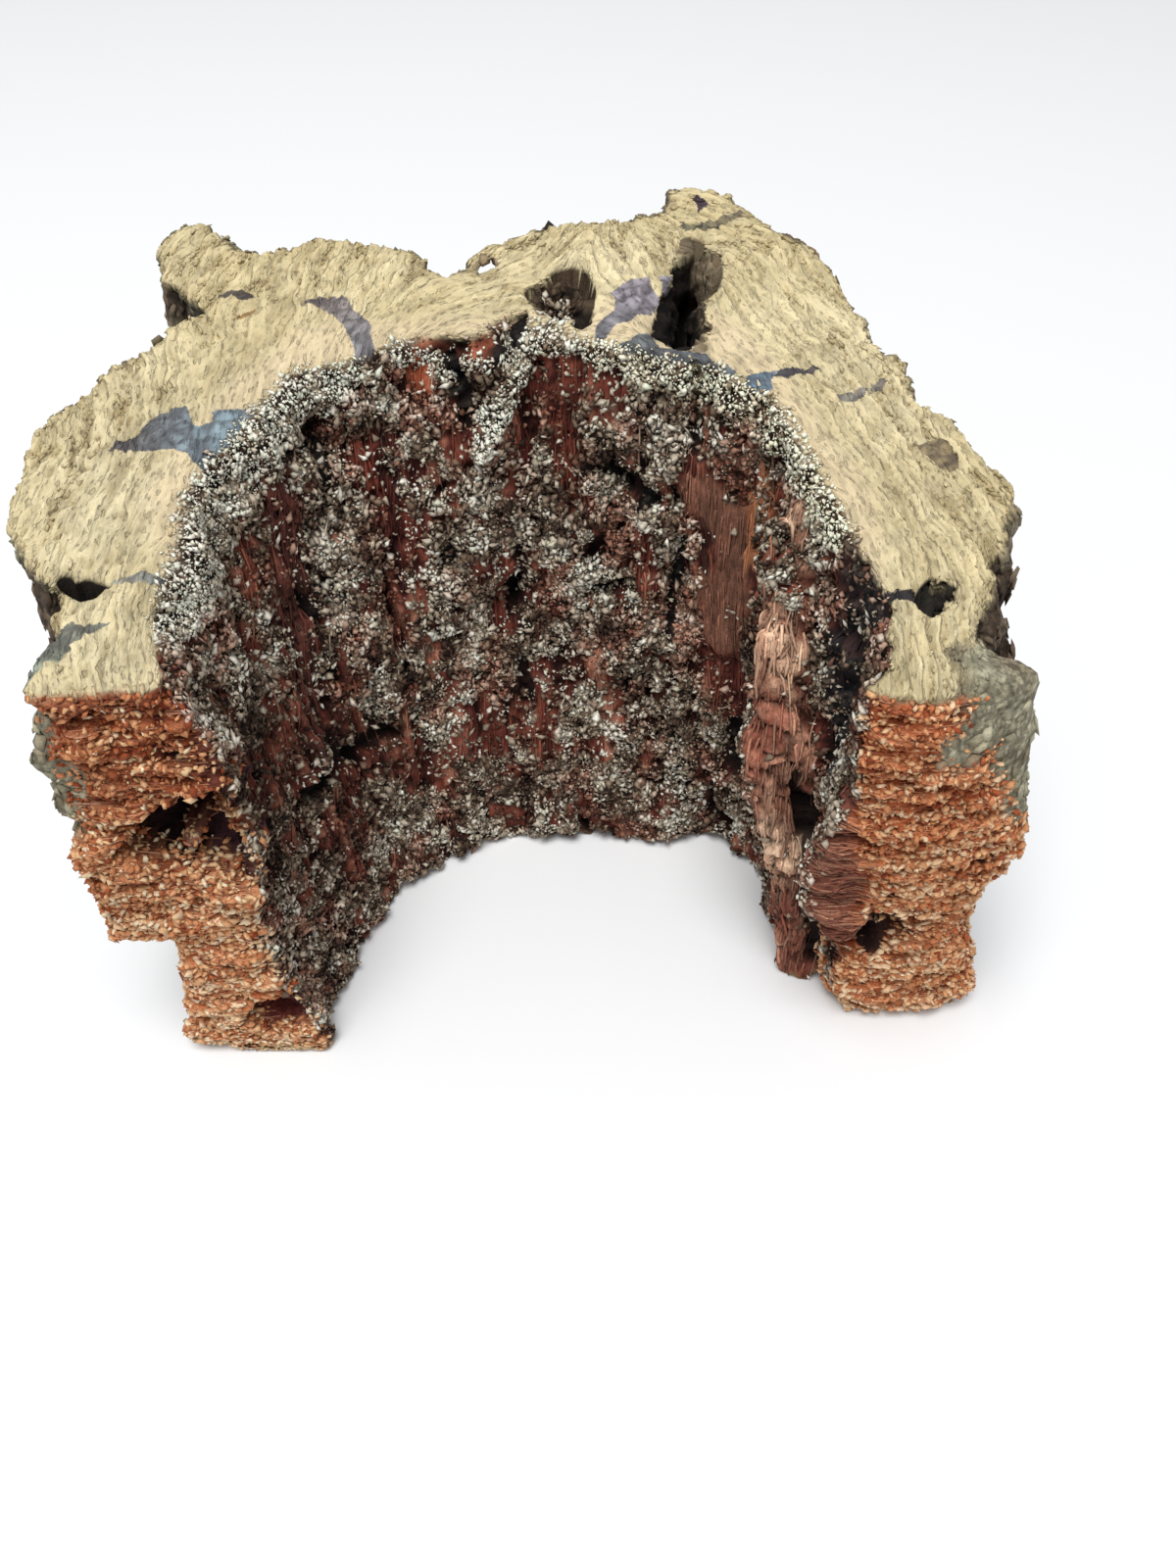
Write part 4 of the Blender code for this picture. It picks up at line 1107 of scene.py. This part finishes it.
def scatter(weight, gap, seed, tries=4.0):
    # seeded places about gap mm apart; gives a function that reads any value of the skin there
    chance = areas * weight[corners].mean(axis=1)
    pick = np.random.default_rng(seed)
    count = int(chance.sum() / gap ** 2 * tries)
    chosen = np.searchsorted(np.cumsum(chance), pick.random(count) * chance.sum())
    chosen = chosen.clip(0, len(corners) - 1)
    share = pick.random((count, 2))
    share = np.where(share.sum(axis=1, keepdims=True) > 1, 1 - share, share)
    share = np.concatenate([1 - share.sum(axis=1, keepdims=True), share], axis=1)
    spots = (points[corners[chosen]] * share[:, :, None]).sum(axis=1)
    first = np.unique(np.floor(spots / gap).astype(np.int64), axis=0, return_index=True)[1]
    chosen, share = chosen[first], share[first]

    def read(values):
        picked = values[corners[chosen]]
        return (picked * (share if values.ndim == 1 else share[:, :, None])).sum(axis=1)
    return read, pick, len(first)


def formed(size, pick, spans):
    # length, breadth and height of each grain; a pair of numbers is drawn between
    return columns(*[size * (pick.uniform(*span, len(size)) if isinstance(span, tuple) else span)
                     for span in spans])


def loosePiece(name, placed, faces, tones):
    placed = np.clip(placed, lowCorner + 0.02, highCorner - 0.02)
    made = bpy.data.meshes.new(name)
    made.vertices.add(len(placed))
    made.vertices.foreach_set("co", ((placed + mouth) * mm).ravel())
    made.loops.add(faces.size)
    made.loops.foreach_set("vertex_index", faces.ravel())
    made.polygons.add(len(faces))
    made.polygons.foreach_set("loop_start", np.arange(len(faces)) * 3)
    made.update(calc_edges=True)
    store(made, "paint", tones)
    piece = bpy.data.objects.new(name, made)
    scene.collection.objects.link(piece)
    finishPiece(piece, loose.material)
    print(name, len(faces), "triangles")


def grains(name, settings, read, along, size, base, tip, pick, spots=None, sizes=None):
    form, faces = settings["form"]
    uneven = settings["uneven"]
    sizes = formed(size, pick, settings["spans"]) if sizes is None else sizes
    spots = read(points) if spots is None else spots
    ways, along = unit(read(normals)), read(along)
    spots = spots + ways * (size * settings["lift"])[:, None]
    count = len(spots)
    up = unit(ways + pick.normal(0, 1, (count, 3)) * settings["tilt"])
    first = unit(along - up * (along * up).sum(axis=1, keepdims=True))
    second = np.cross(up, first)
    turn = (pick.random(count) - 0.5) * 2 * settings["spin"]
    across = second * np.cos(turn)[:, None] - first * np.sin(turn)[:, None]
    first = first * np.cos(turn)[:, None] + second * np.sin(turn)[:, None]
    shape = form[None] * (1 + (pick.random((count, len(form), 1)) - 0.5) * 2 * uneven)
    shape = shape + (pick.random((count, len(form), 3)) - 0.5) * uneven * 0.8
    shape = shape * sizes[:, None, :]
    placed = (spots[:, None] + shape[:, :, :1] * first[:, None] + shape[:, :, 1:2] * across[:, None]
              + shape[:, :, 2:] * up[:, None]).reshape(-1, 3)
    faces = (np.arange(count)[:, None, None] * len(form) + np.array(faces)[None]).reshape(-1, 3)
    # tones run from the base at the underside to the tip on top; a darker base is painted shade under the grain
    lift = ((form[:, 2] + 1) / 2)[None, :, None]
    tones = (base[:, None] + (tip - base)[:, None] * lift).reshape(-1, 3)
    loosePiece(name, placed, faces, tones.clip(0, 1))


def strands(name, settings, read, along, tones, pick, thicker=1.0):
    # thin tapered strands laid on the skin
    spots, ways, along = read(points), unit(read(normals)), read(along)
    count = len(spots)
    lengths = pick.uniform(*settings["length"], count)
    radii = pick.uniform(*settings["radius"], count) * thicker
    along = unit(along + pick.normal(0, 0.05, (count, 3)))
    along = unit(along - ways * (along * ways).sum(axis=1, keepdims=True))
    placed = []
    for share in strandStops:
        aim = spots + along * (lengths * share)[:, None]
        found = [skinTree.find_nearest(Vector(spot)) for spot in aim]
        held = np.array([list(hit[0]) for hit in found])
        over = unit(np.array([list(hit[1]) for hit in found]) + ways)
        if abs(share) == 0.5:
            placed.append(held - over * 0.25)
            continue
        sideway = np.cross(over, along)
        wide = radii * pick.uniform(0.7, 1.2, count)
        rise = radii * pick.uniform(0.3, 1.3, count)
        for turn in (90, 210, 330):
            side = math.cos(math.radians(turn)) * wide
            lift = math.sin(math.radians(turn)) * wide * settings["flat"]
            placed.append(held + sideway * side[:, None] + over * (rise * 0.6 + lift)[:, None])
    faces = [(0, 1, 2), (0, 2, 3), (0, 3, 1), (10, 8, 7), (10, 9, 8), (10, 7, 9)]
    for ring in (1, 4):
        for k in range(3):
            a, b = ring + k, ring + (k + 1) % 3
            faces += [(a, a + 3, b), (b, a + 3, b + 3)]
    faces = (np.arange(count)[:, None, None] * len(placed) + np.array(faces)[None]).reshape(-1, 3)
    light = pick.uniform(0.85, 1.15, (count, len(placed), 1))
    light[:, [0, -1]] *= 0.7
    tones = (tones[:, None] * light).reshape(-1, 3)
    loosePiece(name, columns(*placed).reshape(-1, 3), faces, tones.clip(0, 1))


loose = Finish("looseGrainFinish", 0.85)
place = loose.stretched(loose.node("TexCoord").outputs["Object"], (1000, 1000, 1000))
speck = loose.ramped(loose.noise(place, 2.6, 3, 0.6), 0.3, 0.7, 0.78, 1.16)
loose.join(loose.scaled(loose.attribute("paint", "Color"), speck), "Base Color")

# grains of the hollow; each is painted darker towards its base, with the "foot" tone, as shade under it
hollowGrains = {
    "gap": 0.7, "small": 0.28, "large": 0.86, "spans": ((0.95, 1.45), (0.6, 1.0), 0.5), "form": fourSided,
    "lift": 0.45, "uneven": 0.55, "spin": 3.1, "tilt": 0.35, "foot": (40, 21, 16), "moss": (0.88, 1.0, 0.9),
    "cool": [(34, 24, 19), (86, 65, 52), (142, 121, 101), (214, 200, 178), (252, 248, 232)],
    "warm": [(50, 22, 17), (110, 54, 42), (156, 92, 72), (202, 150, 126), (236, 208, 188)],
}
inGap = np.clip(gaps * 0.8 * (1 - pale) + recessShadeShare + shadedCrevice + openings, 0, 1)
onCrest = top * ease(smoothed(hollow, edges, 8), 0.12, 0.4) * ease(pale, 0.1, 0.5)
density = (hollow * (0.1 + 0.9 * ease(crust, 0.2, 0.8)) * (1 - 0.95 * boarded) * (1 - 0.93 * stripped)
           * (1 - 0.85 * inked))
density = (density + 0.6 * onCrest) * (1 - inGap)
clump = rough("clumps", points) + 0.5 * rough("wideClumps", points)
redShare = ease(rough("redness", points), -0.1, 0.7) * (1 - pale)
band = ease(pale, 0.35, 0.6)
# the part of the hollow, how close and how fine its grains lie, and the seed
leftPart, rightPart = grain[:, 0] < 78, grain[:, 0] >= 122
for name, part, closer, finer, seed in (
        ("hollowGrainsLeft", leftPart * (1 - band), 1.0, 1.0, 107),
        ("hollowGrainsMiddle", (~leftPart & ~rightPart) * (1 - band), 1.0, 1.0, 109),
        ("hollowGrainsRight", rightPart * (1 - band), 1.0, 1.0, 108),
        ("crestGrains", band, 0.8, 0.72, 102)):
    read, pick, count = scatter(density * part, hollowGrains["gap"] * closer, seed)
    white = read(pale)
    value = (0.58 + 0.34 * read(clump) + 0.3 * read(mood) * (1 - white) + 0.42 * white
             - 0.2 * read(shadeSide) + pick.normal(0, 0.16, count))
    value = np.clip(value, 0, 1)
    cool, warm = ramp(value, hollowGrains["cool"]), ramp(value, hollowGrains["warm"])
    mossShare = ease(pick.random(count) + 0.3 * white, 0.75, 1.0) * 0.5
    tip = mix(mix(cool, warm, read(redShare) * 0.85), cool * np.array(hollowGrains["moss"]), mossShare)
    onRight = white * (read(points)[:, 0] > 0)
    tip = tip * (1 + np.array([0.12, 0.11, 0.02]) * onRight[:, None])
    # the darker base is painted shade under each grain
    base = mix(mix(tip * 0.2, tone(*hollowGrains["foot"]), 0.5), tip * 0.48, 0.7 * white)
    larger = (hollowGrains["large"] - hollowGrains["small"]) * pick.random(count) ** 2.6
    size = finer * (hollowGrains["small"] + larger)
    grains(name, hollowGrains, read, upGrain, size, base, tip, pick)

# strands of inner bark in the hollow
hollowStrands = {"gap": 1.35, "length": (3, 10), "radius": (0.14, 0.36), "flat": 0.6,
                 "pale": [(110, 72, 58), (160, 122, 100), (206, 176, 148)]}
lay = np.clip(0.15 * (1 - crust) + 0.22 * stripped + 0.3 * boarded + 0.5 * ease(bare, 0, 0.5), 0, 1)
lay = hollow * (1 - inGap) * (1 - ease(above, -9, -5)) * lay
read, pick, count = scatter(lay, hollowStrands["gap"], 94, 2.0)
wide = read(stripped)
tones = read(paint) * pick.uniform(0.9, 1.35, (count, 1))
tones = mix(tones, ramp(pick.random(count), hollowStrands["pale"]), 0.35 * wide * pick.random(count))
strands("hollowStrands", hollowStrands, read, upGrain, tones, pick, 1 + 0.3 * wide)

# crumbs of the torn ends, in level rows; some stand tall near the top. Their bases are darker, partly the
# crumbs' own red and partly painted shade
endCrumbs = {
    "gap": 0.86, "row": 1.15, "size": (0.34, 0.95), "form": fiveSided, "lift": 0.15, "uneven": 0.42,
    "spin": 0.9, "tilt": 0.35, "tall": ((0.55, 0.85), (0.9, 1.3)), "level": ((1.0, 1.5), (0.45, 0.8)),
    "thick": (0.5, 0.9),
    "tones": [(136, 66, 38), (182, 110, 70), (214, 154, 108), (236, 198, 150), (248, 230, 194)],
    "foot": (128, 54, 30), "redder": (0.98, 0.84, 0.77),
}
onSmooth = 1.1 * ease(laminated, 0.05, 0.6) + 0.7 * ease(near(points, patches[-1]["path"]), 0.0, 0.3)
calmEnd = np.clip(1.3 * recessShadeShare + onSmooth, 0, 1)
read, pick, count = scatter(end * (1 - calmEnd) * (1 - ease(top, 0.02, 0.2)), endCrumbs["gap"], 95)
spots = read(points)
spots[:, 2] += (np.round(spots[:, 2] / endCrumbs["row"]) * endCrumbs["row"] - spots[:, 2]) * 0.7
height = spots[:, 2]
value = (0.68 + 0.36 * read(soft("crumbRows", points)) + pick.normal(0, 0.25, count)
         - ease(height, 25, 92) * np.where(spots[:, 0] < 0, 0.36, 0.08)
         + 0.35 * ease(-height, -5, -1) + 0.04 * ease(-height, -55, -30))
tip = ramp(np.clip(value, 0, 1), endCrumbs["tones"])
redder = np.maximum(spots[:, 0] > 0, 0.6 * ease(-height, -55, -30))
tip = tip * (1 + (np.array(endCrumbs["redder"]) - 1) * redder[:, None])
# a darker base: partly the crumb's own red, partly painted shade under it
base = mix(tip * 0.5, tone(*endCrumbs["foot"]), 0.55)
size = pick.uniform(*endCrumbs["size"], count) * (1 - 0.2 * ease(height, 40, 90))
tall = pick.random(count) < 0.45 * ease(height, 30, 60)
widths, depths = [np.where(tall, pick.uniform(*high, count), pick.uniform(*low, count))
                  for high, low in zip(endCrumbs["tall"], endCrumbs["level"])]
sizes = columns(size * widths, size * depths, size * pick.uniform(*endCrumbs["thick"], count))
grains("endCrumbs", endCrumbs, read, sideways, size, base, tip, pick, spots, sizes)

# level fibres of the torn ends, thickest where the wood is laminated
endFibres = {"gap": 0.95, "length": (2.5, 7), "radius": (0.1, 0.26), "flat": 0.7,
             "pale": [(112, 62, 50), (170, 116, 92), (214, 170, 138)]}
lay = end * (1 - ease(top, 0.02, 0.2)) * (1 - np.clip(recessShadeShare, 0, 1))
lay = lay * np.clip(0.1 + laminated + 0.25 * (1 - lowToHigh), 0, 1)
read, pick, count = scatter(lay, endFibres["gap"], 96, 2.0)
tones = read(paint) * pick.uniform(0.8, 1.4, (count, 1))
tones = mix(tones, ramp(pick.random(count), endFibres["pale"]), 0.45)
strands("endFibres", endFibres, read, sideways, tones, pick)

# shreds of the sawn top, along its ridges
topShreds = {"gap": 0.9, "size": (0.4, 1.2), "spans": (1, (0.25, 0.45), (0.2, 0.32)), "form": fiveSided,
             "lift": 0.0, "uneven": 0.25, "spin": 0.4, "tilt": 0.12}
ridged = np.clip(0.6 * rim + 0.5 * plateLine * crumbly, 0, 1)
unstained = 0.3 + 0.7 * (1 - ease(stain, -0.1, 0.1))
read, pick, count = scatter(top * ridged * unstained * (1 - recessShadeShare), topShreds["gap"], 97)
light = np.clip(1.0 + pick.normal(0, 0.05, count), 0.88, 1.1)[:, None]
tones = np.where((read(stain) > 0)[:, None], read(stainTone) * light, read(paint) * light)
size = pick.uniform(*topShreds["size"], count)
# the shreds' bases are painted a tenth darker, as shade under them
grains("topShreds", topShreds, read, flow, size, tones * 0.9, tones, pick)

# flakes of the outer bark
barkFlakes = {"gap": 2.1, "size": (0.7, 1.9), "spans": (1, (0.5, 0.9), (0.18, 0.3)), "form": fiveSided,
              "lift": 0.0, "uneven": 0.3, "spin": 1.2, "tilt": 0.12}
outer = bark * (1 - recessShadeShare) * (1 - 0.9 * ease(above, -4, -1)) * (1 - 0.8 * plated)
read, pick, count = scatter(outer, barkFlakes["gap"], 99)
tones = read(paint) * (1.12 + pick.normal(0, 0.16, count)[:, None])
size = pick.uniform(*barkFlakes["size"], count)
# the flakes' bases are painted a tenth darker, as shade under them
grains("barkFlakes", barkFlakes, read, upGrain, size, tones * 0.9, tones, pick)

# table, light and camera, in metres
half = 1.5
tableMesh = bpy.data.meshes.new("table")
tableCorners = [(-half, -half, 0), (half, -half, 0), (half, half, 0), (-half, half, 0)]
tableMesh.from_pydata(tableCorners, [], [(0, 1, 2, 3)])
table = bpy.data.objects.new("table", tableMesh)
scene.collection.objects.link(table)
table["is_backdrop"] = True

daylight = {"sky": (0.93, 0.96, 1.0, 1.0), "strength": 0.55, "lampWatts": 19.0, "lampWidth": 0.7,
            "lampPlace": (-0.15, -0.32, 1.4)}
world = bpy.data.worlds.new("daylight")
world.use_nodes = True
sky = world.node_tree.nodes["Background"].inputs
sky["Color"].default_value = daylight["sky"]
sky["Strength"].default_value = daylight["strength"]
scene.world = world
lamp = bpy.data.lights.new("windowLight", "AREA")
lamp.energy = daylight["lampWatts"]
lamp.size = daylight["lampWidth"]
lampPlace = bpy.data.objects.new("windowLight", lamp)
lampPlace.location = daylight["lampPlace"]
lampPlace.rotation_euler = (-Vector(daylight["lampPlace"])).to_track_quat("-Z", "Y").to_euler()
scene.collection.objects.link(lampPlace)

# the camera's eye in mm from the mouth, its turn up from straight down, lens and sensor
picture = {"eye": (0, -110.9, 202.6), "turn": 40.0, "lens": 27.0, "sensor": 36.0}
lens = bpy.data.cameras.new("camera")
lens.lens = picture["lens"]
lens.sensor_width = picture["sensor"]
camera = bpy.data.objects.new("camera", lens)
camera.location = Vector((mouth + np.array(picture["eye"])) * mm)
camera.rotation_euler = (math.radians(picture["turn"]), 0.0, 0.0)
scene.collection.objects.link(camera)
scene.camera = camera
scene.view_settings.view_transform = "Standard"

sizes = {"cad": [list(map(float, corner)) for corner in cadBox],
         "visual": [list(map(float, corner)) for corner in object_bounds()]}
